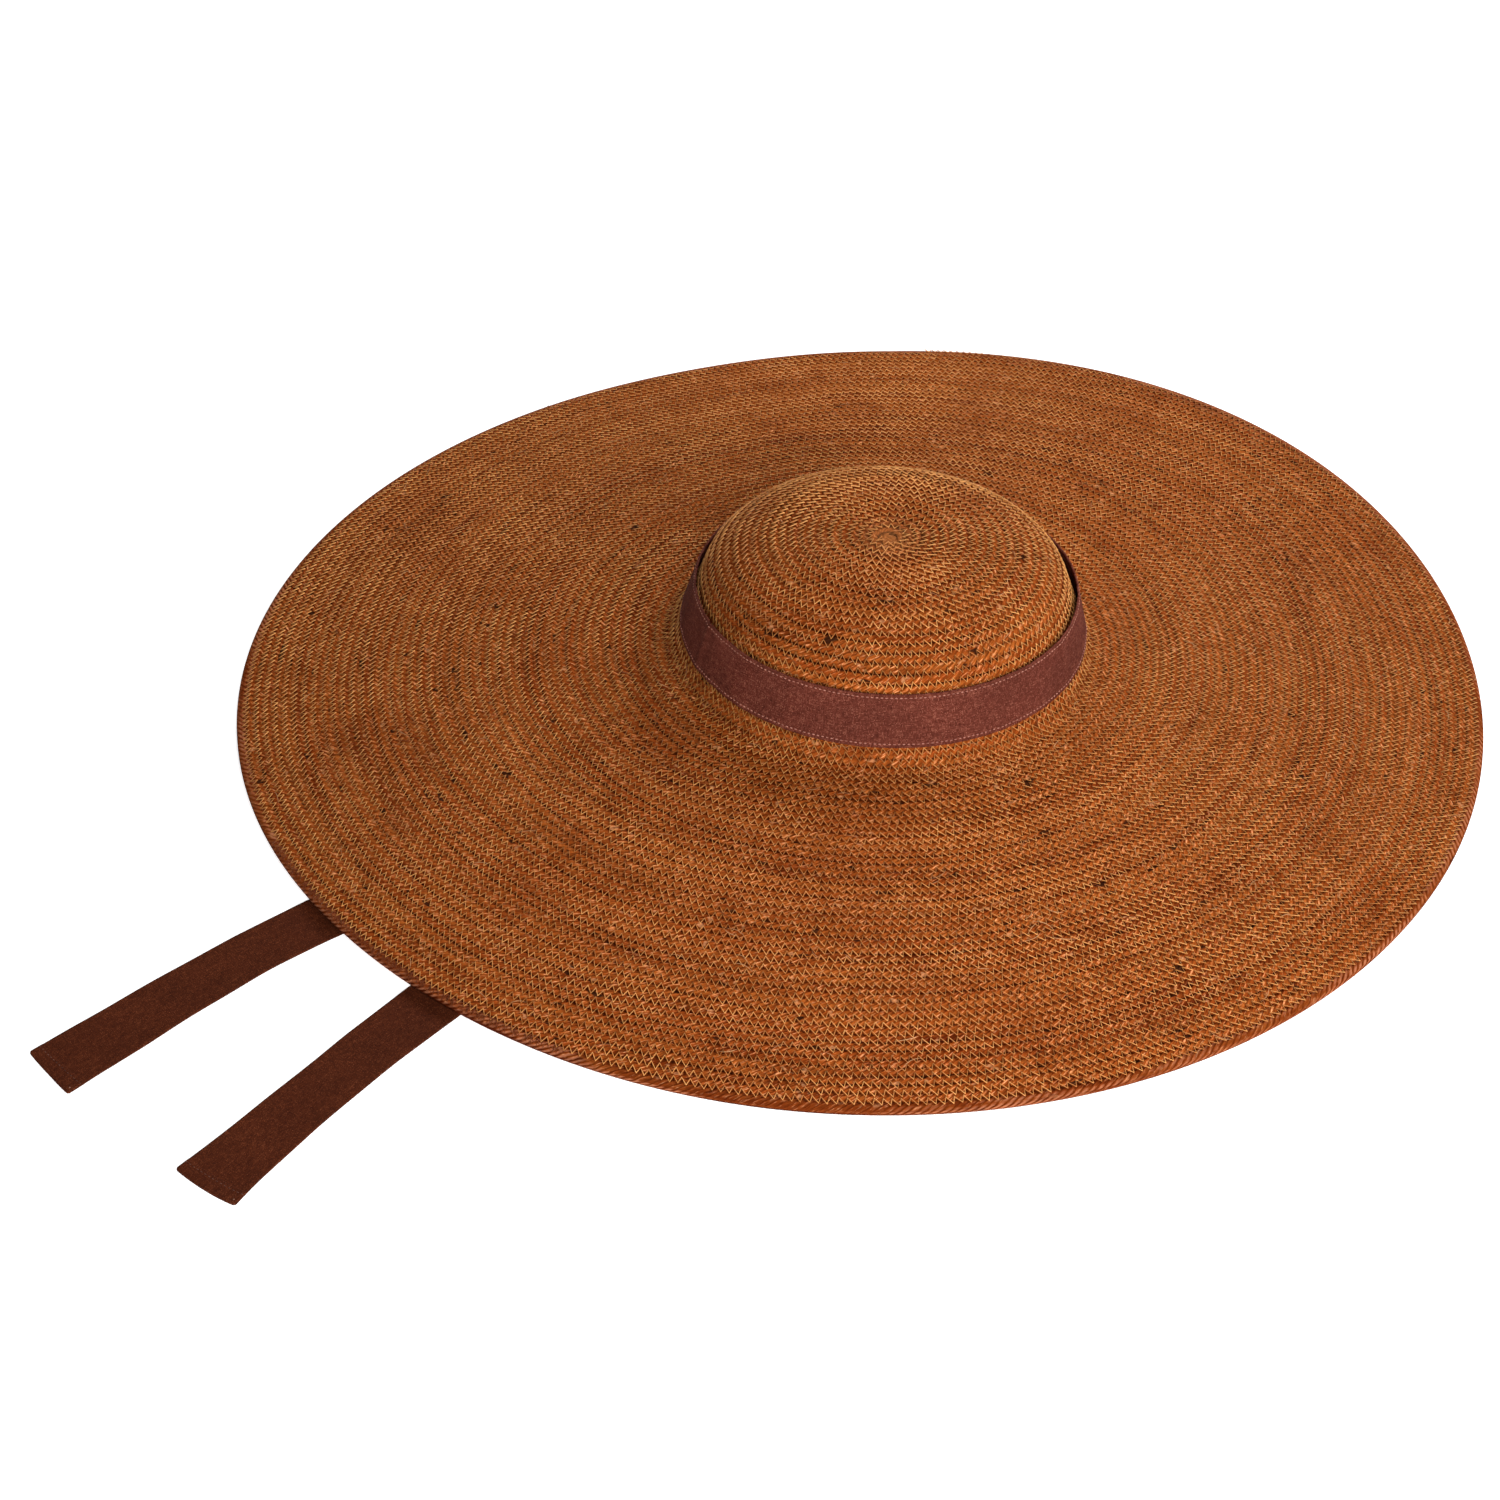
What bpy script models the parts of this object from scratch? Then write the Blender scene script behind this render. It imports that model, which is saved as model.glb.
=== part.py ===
"""A wide-brim hat of coiled and sewn straw cord, with a ribbon band and two ribbon ties.

The hat lies on a flat surface at z = 0, as it would by itself. Its rim touches the surface but for one
lifted stretch, and the ties run out beneath it and lie flat. Sizes are in metres and angles in degrees,
turned from +X towards +Y. The hat is built about the foot of the crown's axis, and is moved at the end so
that the middle of its box's underside is the origin.
"""
import math

import bmesh
import bpy
from mathutils import Matrix, Vector

# Straw
WALL = 0.0042              # one thickness of the sewn cord
HEAD_RADIUS = 0.0935       # inside of the crown, where its wall starts
CROWN_HEIGHT = 0.0628      # from the foot plane to the top, outside
DOME_BASE = 0.0265         # height above the foot plane where the dome's curve would stand upright
DOME_RADIUS = 0.0880       # outside of the dome at that height
DOME_FULLNESS = 2.6        # 2 is an ellipse, and more is boxier
WALL_FOOT = 0.0075         # height above the foot plane where the straight wall ends
FOOT_BEND = 0.0120         # radius of the bend from the wall into the brim
SEAM_SLOPE = 40.0          # slope at which the crown's last turn meets the brim's first
BRIM_SLOPE = 10.0          # slope at which the bend runs out into the brim
FOOT_HEIGHT = 0.0357       # foot plane above the surface, on the crown's axis
CROWN_TILT = 2.1           # the crown leans a little
CROWN_TILT_TOWARDS = 335.0

# Brim
BRIM_RADIUS = 0.3054       # mean reach from the crown's axis to the rim
BRIM_OFFSET = 0.0224       # the coil is wound wider on one side of the crown
BRIM_OFFSET_TOWARDS = 115.7
RIM_LIFT = 0.0098          # the stretch of rim that stands off the surface
RIM_LIFT_AT = 52.0
RIM_LIFT_SPREAD = 63.0
BRIM_BOW = 0.0010          # how far the brim bulges above a straight cone, halfway out
BOW_SWING = 0.0018         # how much more, on the side named next
BOW_SWING_TOWARDS = 225.0
RIM_FOOT = 0.0040          # width of the outermost turn's flattened underside
RIM_ROUND = 0.0012         # how far the outermost turn swells past its flat

# Ribbon
BAND_WIDTH = 0.0255
RIBBON_THICKNESS = 0.0010
BAND_FOOT = 0.0110         # lower edge of the band above the foot plane
BAND_GAPE_RIGHT = 0.0032   # the band's upper edge stands off the crown at the two sides
BAND_GAPE_LEFT = 0.0020
TIE_WIDTH = 0.0275         # from the tab to the rim
TIE_END_WIDTH = 0.0315     # the ties widen towards their free ends
TIE_AXIS = 219.0           # the ties run out to both sides of this direction
TIE_TAB = 0.0200           # length sewn to the inside of the crown's wall
TIE_LANDING = 0.0500       # from under the tab to where the tie meets the surface
TIE_TURN_IN = 31.0         # angle between the tie axis and the way that a tie falls
TIE_LIFT_SPREAD = 40.0     # half of the stretch of rim that the ties hold up

CLEARANCE = 0.0003

# Finish of each material: colour, roughness
STRAW = ((0.330, 0.125, 0.035), 0.80)
LINEN = ((0.075, 0.020, 0.015), 0.90)

# How far the rim is out of round
SWELLS = [
    # lobes, swell as a share of BRIM_RADIUS, direction of the first lobe
    (2, 0.0054, 95.0),
    (3, 0.0057, 53.0),
]

# The two ties, as they come out from under the rim
TIES = [
    # name, side of the tie axis, exit direction, heading there, heading at the end, length in view
    ("tie_left", -1, 211.8, 217.0, 229.0, 0.1440),
    ("tie_right", 1, 226.6, 230.0, 235.5, 0.1375),
]

AROUND = 84                # facets round the hat
DOME_STEPS = 9
WALL_STEPS = 2
BEND_STEPS = 2
BRIM_STEPS = 11
FLARE_STEPS = 2
BAND_STEPS = 2
TAB_STEPS = 2
DROP_STEPS = 8
RUN_STEPS = 10
SHOWN_STEPS = 7
SHARP_ANGLE = 40.0


def heading(degrees):
    """Level unit vector in a direction."""
    return Vector((math.cos(math.radians(degrees)), math.sin(math.radians(degrees)), 0.0))


def directions():
    return [360.0 * i / AROUND for i in range(AROUND)]


def hump(degrees, at, spread):
    """Smooth hump of height 1 at a direction, and 0 past its spread to either side."""
    away = abs((degrees - at + 180.0) % 360.0 - 180.0)
    return math.cos(math.pi / 2 * away / spread) ** 2 if away < spread else 0.0


def crown_place():
    """From the crown's own frame, its foot plane at z = 0, to the leaning crown on the brim."""
    lean_axis = heading(CROWN_TILT_TOWARDS + 90.0)
    lean = Matrix.Rotation(math.radians(CROWN_TILT), 4, lean_axis)
    return Matrix.Translation((0.0, 0.0, FOOT_HEIGHT)) @ lean


def dome_points():
    """The middle of the dome's wall as (radius, height), from its base to its top."""
    radius, rise = DOME_RADIUS - WALL / 2, CROWN_HEIGHT - WALL / 2 - DOME_BASE
    power = 2.0 / DOME_FULLNESS
    angles = [math.pi / 2 * i / 60 for i in range(61)]
    return [(radius * math.cos(a) ** power, DOME_BASE + rise * math.sin(a) ** power) for a in angles]


def wall_line():
    """The straight wall's two ends in the middle of its thickness: its foot, and where it meets the dome."""
    foot = (HEAD_RADIUS + WALL / 2, WALL_FOOT)
    dome = [p for p in dome_points() if p[1] > foot[1] + WALL]
    touch = max(dome, key=lambda p: (p[0] - foot[0]) / (p[1] - foot[1]))
    return foot, touch


def wall_radius(height):
    """Radius of the middle of the straight wall at a height."""
    foot, touch = wall_line()
    share = (height - foot[1]) / (touch[1] - foot[1])
    return foot[0] + share * (touch[0] - foot[0])


def wall_slope():
    """Slope of the straight wall, going down and outwards."""
    foot, touch = wall_line()
    return math.degrees(math.atan2(touch[1] - foot[1], foot[0] - touch[0]))


def bend(start, slope_from, slope_to, steps):
    """Points along the foot's bend, from a start and a slope down to a shallower slope."""
    points = []
    for i in range(steps + 1):
        slope = math.radians(slope_from + (slope_to - slope_from) * i / steps)
        first = math.radians(slope_from)
        out = FOOT_BEND * (math.sin(first) - math.sin(slope))
        down = FOOT_BEND * (math.cos(slope) - math.cos(first))
        points.append((start[0] + out, start[1] - down))
    return points


def seam_point():
    """Where the crown's last turn meets the brim's first, in the middle of the wall."""
    return bend(wall_line()[0], wall_slope(), SEAM_SLOPE, BEND_STEPS)[-1]


def crown_profile():
    """The middle of the crown's wall as (radius, height), from near the top to the seam."""
    touch = wall_line()[1]
    top = [p for p in dome_points() if p[1] >= touch[1]]
    rows = [top[round((len(top) - 1) * (1.0 - i / DOME_STEPS) ** 0.8)] for i in range(1, DOME_STEPS + 1)]
    foot = wall_line()[0]
    for i in range(1, WALL_STEPS):
        height = touch[1] + (foot[1] - touch[1]) * i / WALL_STEPS
        rows.append((wall_radius(height), height))
    return rows + bend(foot, wall_slope(), SEAM_SLOPE, BEND_STEPS)


def normals(profile, last):
    """Unit normals out of a profile that runs down and outwards, with the last one given."""
    found = []
    for i in range(len(profile) - 1):
        before, after = profile[max(i - 1, 0)], profile[i + 1]
        along = Vector((after[0] - before[0], after[1] - before[1])).normalized()
        found.append((-along.y, along.x))
    return found + [last]


def slope_normal(slope):
    return math.sin(math.radians(slope)), math.cos(math.radians(slope))


def skin(name, rings, ends, finish):
    """One closed body through rings of points, its ends joined as a loop or closed by a point or a cap."""
    bm = bmesh.new()
    rows = [[bm.verts.new(p) for p in ring] for ring in rings]
    count = len(rows[0])
    pairs = list(zip(rows, rows[1:])) + ([(rows[-1], rows[0])] if ends == "loop" else [])
    for one, other in pairs:
        for i in range(count):
            j = (i + 1) % count
            bm.faces.new((one[i], one[j], other[j], other[i]))
    if ends == "cap":
        bm.faces.new(rows[0])
        bm.faces.new(rows[-1])
    if ends == "point":
        for ring in (rows[0], rows[-1]):
            tip = bm.verts.new(sum((v.co for v in ring), Vector()) / count)
            for i in range(count):
                bm.faces.new((ring[i], ring[(i + 1) % count], tip))
    bmesh.ops.recalc_face_normals(bm, faces=bm.faces)
    mesh = bpy.data.meshes.new(name)
    bm.to_mesh(mesh)
    bm.free()
    mesh.shade_smooth()
    mesh.set_sharp_from_angle(angle=math.radians(SHARP_ANGLE))
    mesh.materials.append(material(name, finish))
    part = bpy.data.objects.new(name, mesh)
    bpy.context.scene.collection.objects.link(part)
    return part


def material(name, finish):
    made = bpy.data.materials.new(name)
    made.use_nodes = True
    shader = made.node_tree.nodes["Principled BSDF"]
    shader.inputs["Base Color"].default_value = (*finish[0], 1.0)
    shader.inputs["Roughness"].default_value = finish[1]
    shader.inputs["Metallic"].default_value = 0.0
    return made


def crown():
    """The dome, the leaning wall and the first half of the bend into the brim."""
    profile = crown_profile()
    outward = normals(profile, slope_normal(SEAM_SLOPE))
    place = crown_place()
    rings = []
    for side, order in ((1, range(len(profile))), (-1, reversed(range(len(profile))))):
        for i in order:
            radius = profile[i][0] + side * WALL / 2 * outward[i][0]
            height = profile[i][1] + side * WALL / 2 * outward[i][1]
            ring = [radius * heading(d) + Vector((0.0, 0.0, height)) for d in directions()]
            rings.append([place @ p for p in ring])
    return skin("crown", rings, "point", STRAW)


def rim_reach(degrees):
    """From the crown's axis to the rim."""
    swell = sum(s * math.cos(math.radians(lobes * (degrees - at))) for lobes, s, at in SWELLS)
    shift = BRIM_OFFSET * math.cos(math.radians(degrees - BRIM_OFFSET_TOWARDS))
    return BRIM_RADIUS * (1.0 + swell) + shift


def tie_lift():
    """How high the ties hold up the rim: their thickness and two gaps, at the outer edge of each."""
    outermost = max(abs(row[2] - TIE_AXIS) for row in TIES) + math.degrees(TIE_WIDTH / 2 / BRIM_RADIUS)
    share = hump(TIE_AXIS + outermost, TIE_AXIS, TIE_LIFT_SPREAD)
    return (RIBBON_THICKNESS + 2 * CLEARANCE) / share


def rim_height(degrees):
    """Underside of the rim above the surface."""
    lifted = RIM_LIFT * hump(degrees, RIM_LIFT_AT, RIM_LIFT_SPREAD)
    return lifted + tie_lift() * hump(degrees, TIE_AXIS, TIE_LIFT_SPREAD)


def brim_line(degrees):
    """The middle of the brim's thickness in one direction, as (reach, height), from the seam to the rim."""
    out = heading(degrees)
    seam = seam_point()
    slope = math.radians(SEAM_SLOPE)
    start = (seam[0] + CLEARANCE * math.cos(slope), seam[1] - CLEARANCE * math.sin(slope))
    placed = crown_place() @ (start[0] * out + Vector((0.0, 0.0, start[1])))
    near, far = placed.dot(out), rim_reach(degrees) - RIM_ROUND
    flare = FOOT_BEND * (math.sin(slope) - math.sin(math.radians(BRIM_SLOPE)))
    flare_rise = flare / 2 * (math.tan(slope) - math.tan(math.radians(BRIM_SLOPE)))
    low, end = placed.z - flare_rise, rim_height(degrees) + WALL / 2
    bow = BRIM_BOW + BOW_SWING * math.cos(math.radians(degrees - BOW_SWING_TOWARDS))
    reaches = [near + flare * i / FLARE_STEPS for i in range(FLARE_STEPS)]
    inner = near + flare
    outer = far - RIM_FOOT
    reaches += [inner + (outer - inner) * i / BRIM_STEPS for i in range(BRIM_STEPS + 1)] + [far]
    line = []
    for reach in reaches:
        share = (reach - near) / (far - near)
        height = low + (end - low) * share + 4.0 * bow * share * (1.0 - share)
        height += flare_rise * max(0.0, 1.0 - (reach - near) / flare) ** 2
        line.append((reach, height))
    return line


def brim_section(degrees):
    """A closed section through the brim in one direction: over its top, round the rim and back below."""
    out, up = heading(degrees), Vector((0.0, 0.0, 1.0))
    line = brim_line(degrees)
    across, rise = slope_normal(SEAM_SLOPE)
    seam_normal = crown_place().to_3x3() @ (across * out + rise * up)
    top, under = [], []
    for i, (reach, height) in enumerate(line[:-1]):
        if i == 0:
            normal = Vector((seam_normal.dot(out), seam_normal.dot(up)))
        else:
            normal = Vector((line[i - 1][1] - line[i + 1][1], line[i + 1][0] - line[i - 1][0])).normalized()
        top.append((reach + WALL / 2 * normal.x, height + WALL / 2 * normal.y))
        under.append((reach - WALL / 2 * normal.x, height - WALL / 2 * normal.y))
    far, foot = line[-1][0], rim_height(degrees)
    under[-1] = (far - RIM_FOOT, foot)
    edge = [(far, foot + WALL), (far + RIM_ROUND, foot + WALL / 2), (far, foot)]
    return [reach * out + height * up for reach, height in top + edge + under[::-1]]


def brim():
    """The wide brim, from the seam at the crown's foot out to the rim."""
    return skin("brim", [brim_section(d) for d in directions()], "loop", STRAW)


def band_gape(degrees):
    """How far the band's upper edge stands off the crown."""
    across = math.cos(math.radians(degrees))
    return (BAND_GAPE_RIGHT if across > 0 else BAND_GAPE_LEFT) * across ** 2


def hat_band():
    """The ribbon round the crown, snug at its lower edge."""
    lean = math.radians(90.0 - wall_slope())
    height = BAND_WIDTH * math.cos(lean)
    place = crown_place()
    rings = []
    for degrees in directions():
        inside, outside = [], []
        for i in range(BAND_STEPS + 1):
            share = i / BAND_STEPS
            level = BAND_FOOT + height * share
            radius = wall_radius(level) + (WALL / 2 + CLEARANCE) / math.cos(lean) + band_gape(degrees) * share
            inside.append((radius, level))
            outside.append((radius + RIBBON_THICKNESS / math.cos(lean), level))
        section = inside + outside[::-1]
        rings.append([place @ (r * heading(degrees) + Vector((0.0, 0.0, z))) for r, z in section])
    return skin("hat_band", rings, "loop", LINEN)


def hermite(start, start_way, end, end_way, share):
    """Point on a smooth level run between two places, leaving and arriving in given directions."""
    reach = (end - start).length
    a = 2 * share ** 3 - 3 * share ** 2 + 1
    b = share ** 3 - 2 * share ** 2 + share
    c = share ** 3 - share ** 2
    return a * start + (1 - a) * end + reach * (b * start_way + c * end_way)


def tie_stations(side, exit_at, exit_heading, end_heading, shown):
    """Places along a tie as (middle, across it, width, curvature across it), from its tab to its end."""
    ear, up = TIE_AXIS + side * 90.0, Vector((0.0, 0.0, 1.0))
    fall = heading(TIE_AXIS - side * TIE_TURN_IN)
    along_wall = heading(ear + 90.0)
    place = crown_place()
    lean = math.radians(90.0 - wall_slope())
    stations = []
    for i in range(TAB_STEPS + 1):
        level = WALL_FOOT + TIE_TAB * (1.0 - i / TAB_STEPS)
        radius = wall_radius(level) - (WALL / 2 + CLEARANCE + RIBBON_THICKNESS / 2) / math.cos(lean)
        middle = place @ (radius * heading(ear) + level * up)
        stations.append((middle, place.to_3x3() @ along_wall, TIE_WIDTH, 1.0 / radius))
    tab_end = stations[-1][0]
    floor = Vector((tab_end.x, tab_end.y, RIBBON_THICKNESS / 2))
    landing = floor + TIE_LANDING * fall
    across_fall = fall.cross(up)
    if across_fall.dot(along_wall) < 0:
        across_fall = -across_fall
    handles = (tab_end, tab_end.lerp(floor, 0.5), landing - TIE_LANDING / 2 * fall, landing)
    for i in range(1, DROP_STEPS + 1):
        t = i / DROP_STEPS
        weights = ((1 - t) ** 3, 3 * t * (1 - t) ** 2, 3 * t ** 2 * (1 - t), t ** 3)
        middle = sum((w * h for w, h in zip(weights, handles)), Vector())
        across = along_wall.lerp(across_fall, t)
        stations.append((middle, across, TIE_WIDTH, (1.0 - t) ** 2 / HEAD_RADIUS))
    rim_place = rim_reach(exit_at) * heading(exit_at) + RIBBON_THICKNESS / 2 * up
    for i in range(1, RUN_STEPS + 1):
        middle = hermite(landing, fall, rim_place, heading(exit_heading), i / RUN_STEPS)
        stations.append((middle, None, TIE_WIDTH, 0.0))
    middle = rim_place
    for i in range(1, SHOWN_STEPS + 1):
        share = i / SHOWN_STEPS
        way = exit_heading + (end_heading - exit_heading) * (share - 0.5 / SHOWN_STEPS)
        middle = middle + shown / SHOWN_STEPS * heading(way)
        width = TIE_WIDTH + (TIE_END_WIDTH - TIE_WIDTH) * share
        stations.append((middle, None, width, 0.0))
    return stations


def tie(name, side, exit_at, exit_heading, end_heading, shown):
    """A ribbon tie: sewn inside the crown, falling to the surface and lying flat on it out past the rim."""
    stations = tie_stations(side, exit_at, exit_heading, end_heading, shown)
    ear = heading(TIE_AXIS + side * 90.0)
    rings, last_across = [], None
    lowest = RIBBON_THICKNESS / 2
    for i, (middle, across, width, curvature) in enumerate(stations):
        before, after = stations[max(i - 1, 0)][0], stations[min(i + 1, len(stations) - 1)][0]
        along = after - before
        if middle.z < lowest + CLEARANCE:
            along.z = 0.0
        along.normalize()
        if across is None:
            across = along.cross(Vector((0.0, 0.0, 1.0)))
            if across.dot(last_across) < 0:
                across = -across
        across = (across - across.dot(along) * along).normalized()
        last_across = across
        face = across.cross(along)
        if i <= TAB_STEPS:
            face = face if face.dot(ear) > 0 else -face
        elif face.dot(last_face) < 0:
            face = -face
        last_face = face
        inward = curvature * (width / 2) ** 2 / 2
        edges = [(-1, inward), (0, 0.0), (1, inward)]
        outer = [middle + s * width / 2 * across + (RIBBON_THICKNESS / 2 - b) * face for s, b in edges]
        inner = [middle + s * width / 2 * across - (RIBBON_THICKNESS / 2 + b) * face for s, b in edges[::-1]]
        rings.append(outer + inner)
    return skin(name, rings, "cap", LINEN)


def stand_on_origin(parts):
    """Move the hat so that the middle of its box's underside is the origin."""
    corners = [v.co for part in parts for v in part.data.vertices]
    middle = [(min(c[k] for c in corners) + max(c[k] for c in corners)) / 2 for k in range(2)]
    for part in parts:
        part.data.transform(Matrix.Translation((-middle[0], -middle[1], 0.0)))


for leftover in list(bpy.data.objects):
    bpy.data.objects.remove(leftover, do_unlink=True)

stand_on_origin([crown(), brim(), hat_band()] + [tie(*row) for row in TIES])
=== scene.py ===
import math

import bmesh
import bpy
import numpy as np
from mathutils import Matrix, Vector


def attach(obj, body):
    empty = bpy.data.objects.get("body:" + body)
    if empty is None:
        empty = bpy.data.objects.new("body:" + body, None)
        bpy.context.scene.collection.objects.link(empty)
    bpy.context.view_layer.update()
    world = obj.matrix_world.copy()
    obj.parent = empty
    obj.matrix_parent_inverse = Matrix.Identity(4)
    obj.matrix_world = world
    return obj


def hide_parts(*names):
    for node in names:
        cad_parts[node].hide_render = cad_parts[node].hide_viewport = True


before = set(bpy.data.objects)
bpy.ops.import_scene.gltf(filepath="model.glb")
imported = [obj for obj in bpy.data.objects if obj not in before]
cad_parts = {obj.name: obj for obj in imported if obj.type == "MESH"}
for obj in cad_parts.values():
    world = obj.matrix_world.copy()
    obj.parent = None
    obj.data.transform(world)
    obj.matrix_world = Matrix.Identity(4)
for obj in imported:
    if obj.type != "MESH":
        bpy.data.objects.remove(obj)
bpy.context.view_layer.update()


# The photograph's view: a camera 1.4 metres off, looking down at the hat by 38 degrees, with the hat right of
# the middle of the picture. The picture leans by less than a degree.
CAMERA_PLACE = (-0.02473, -1.13626, 0.85415)
CAMERA_PITCH, CAMERA_LEAN = 52.18, -0.84
PICTURE_PIXELS, FOCAL_PIXELS, SENSOR = 1500, 2900, 36.0


def in_scene(name, data):
    """A new object in the scene, from a mesh, a lens or a lamp."""
    made = bpy.data.objects.new(name, data)
    bpy.context.scene.collection.objects.link(made)
    return made


lens = bpy.data.cameras.new("camera")
lens.sensor_width, lens.lens = SENSOR, SENSOR * FOCAL_PIXELS / PICTURE_PIXELS
camera = in_scene("camera", lens)
pitched = Matrix.Rotation(math.radians(CAMERA_PITCH), 4, "X")
leaned = Matrix.Rotation(math.radians(CAMERA_LEAN), 4, "Z")
camera.matrix_world = Matrix.Translation(CAMERA_PLACE) @ (pitched @ leaned)
bpy.context.scene.camera = camera


# The coil: one long twisted straw cord, wound from the middle of the crown outwards, over the dome, down the
# wall and out over the brim, where it runs out in a taper at the rim. Every straw piece takes its place from
# one rule: the middle of the straw's thickness, at a direction and a number of turns out from the centre.
AXIS = np.array((0.039798, 0.003294, 0.0))  # foot of the crown's axis
WALL = 0.0042
HEAD_RADIUS, CROWN_HEIGHT = 0.0935, 0.0628
DOME_BASE, DOME_RADIUS, DOME_FULLNESS = 0.0265, 0.0880, 2.6
WALL_FOOT, FOOT_BEND, FOOT_HEIGHT = 0.0075, 0.0120, 0.0357
SEAM_SLOPE, BRIM_SLOPE = math.radians(40.0), math.radians(10.0)
CROWN_TILT, CROWN_TILT_TOWARDS = 2.1, 335.0
BRIM_RADIUS, BRIM_OFFSET, BRIM_OFFSET_TOWARDS = 0.3054, 0.0224, 115.7
SWELLS = ((2, 0.0054, 95.0), (3, 0.0057, 53.0))  # lobes, share of the brim's radius, direction
RIM_LIFT, RIM_LIFT_AT, RIM_LIFT_SPREAD = 0.0098, 52.0, 63.0
TIE_HOLD, TIE_AXIS, TIE_HOLD_SPREAD = 0.00191, 219.0, 40.0
BRIM_BOW, BOW_SWING, BOW_SWING_TOWARDS = 0.0010, 0.0018, 225.0
RIM_ROUND, CLEARANCE = 0.0012, 0.0003
CROWN_TURNS, BRIM_TURNS = 29, 45
COIL_END = 98.0        # direction in which the cord starts and ends
COIL_TAPER = 0.10      # share of the last turn over which the cord runs out
CENTRE_SHIFT, CENTRE_SHIFT_REACH = np.array((0.0006, -0.0040)), 0.060
LAST_TURN = CROWN_TURNS + BRIM_TURNS - 1    # whole turns inside the last one
SECTION_STEPS, SECTION_CROWDING = 240, 1.15     # places down the brim's section, crowded near the crown
CROWN_PITCH, BRIM_PITCH = 0.0045, 0.0046        # about one width of cord, to judge how long a turn is
FIRST_ROUND, BRIM_ROUND = 0.002, 0.1            # radius of the smallest turn and of the brim's first
FEWEST_STEPS = 13                               # in a turn, however small it is
THINNEST_END = 0.02         # share of the width past which the cord's tapering end gets no thinner


def heading(degrees):
    """Level unit vectors in those directions, as rows."""
    angle = np.radians(np.asarray(degrees, float))
    return np.stack((np.cos(angle), np.sin(angle), np.zeros_like(angle)), -1)


def hump(degrees, at, spread):
    """Smooth hump of height 1 at a direction, and 0 past its spread to either side."""
    away = np.abs((np.asarray(degrees, float) - at + 180.0) % 360.0 - 180.0)
    return np.where(away < spread, np.cos(np.pi / 2 * away / spread) ** 2, 0.0)


lean = np.array(Matrix.Rotation(math.radians(CROWN_TILT), 3, Vector(heading(CROWN_TILT_TOWARDS + 90.0))))


def on_crown(radius, degrees, height):
    """From the crown's own measures to the leaning crown in the hat."""
    radius, height = np.broadcast_arrays(np.asarray(radius, float), np.asarray(height, float))
    flat = radius[..., None] * heading(degrees)
    flat = flat + np.stack((np.zeros_like(height), np.zeros_like(height), height), -1)
    return flat @ lean.T + np.array((0.0, 0.0, FOOT_HEIGHT)) + AXIS


def crown_curve():
    """The crown's wall in section, down its middle: radius and height from the top to the brim's first turn.
    Then where the dome meets the straight wall, and the wall's slope."""
    spin = np.linspace(np.pi / 2, 0.0, 400)
    radius = (DOME_RADIUS - WALL / 2) * np.cos(spin) ** (2 / DOME_FULLNESS)
    height = DOME_BASE + (CROWN_HEIGHT - WALL / 2 - DOME_BASE) * np.sin(spin) ** (2 / DOME_FULLNESS)
    foot = (HEAD_RADIUS + WALL / 2, WALL_FOOT)
    above = height > foot[1] + WALL
    rise = np.where(above, height - foot[1], 1.0)
    touch = np.argmax(np.where(above, (radius - foot[0]) / rise, -math.inf))
    slope = math.atan2(height[touch] - foot[1], foot[0] - radius[touch])
    turn = np.linspace(slope, SEAM_SLOPE, 12)
    bend_radius = foot[0] + FOOT_BEND * (math.sin(slope) - np.sin(turn))
    bend_height = foot[1] - FOOT_BEND * (np.cos(turn) - math.cos(slope))
    return (np.concatenate((radius[:touch + 1], bend_radius)),
            np.concatenate((height[:touch + 1], bend_height)), radius[touch], height[touch], slope)


def distance_along(places):
    """How far each of a row of places lies along the line through them."""
    return np.concatenate(([0.0], np.cumsum(np.linalg.norm(np.diff(places, axis=0), axis=1))))


crown_radius, crown_height, touch_radius, touch_height, wall_slope = crown_curve()
crown_run = distance_along(np.stack((crown_radius, crown_height), -1))


def wall_radius(height):
    """Radius of the middle of the crown's straight wall at a height above its foot."""
    share = (height - WALL_FOOT) / (touch_height - WALL_FOOT)
    return HEAD_RADIUS + WALL / 2 + share * (touch_radius - HEAD_RADIUS - WALL / 2)


def rim_reach(degrees):
    """From the crown's axis to the rim."""
    swell = sum(share * np.cos(np.radians(lobes * (degrees - at))) for lobes, share, at in SWELLS)
    return BRIM_RADIUS * (1.0 + swell) + BRIM_OFFSET * np.cos(np.radians(degrees - BRIM_OFFSET_TOWARDS))


def rim_height(degrees):
    """Underside of the rim above the surface."""
    return (RIM_LIFT * hump(degrees, RIM_LIFT_AT, RIM_LIFT_SPREAD)
            + TIE_HOLD * hump(degrees, TIE_AXIS, TIE_HOLD_SPREAD))


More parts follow.
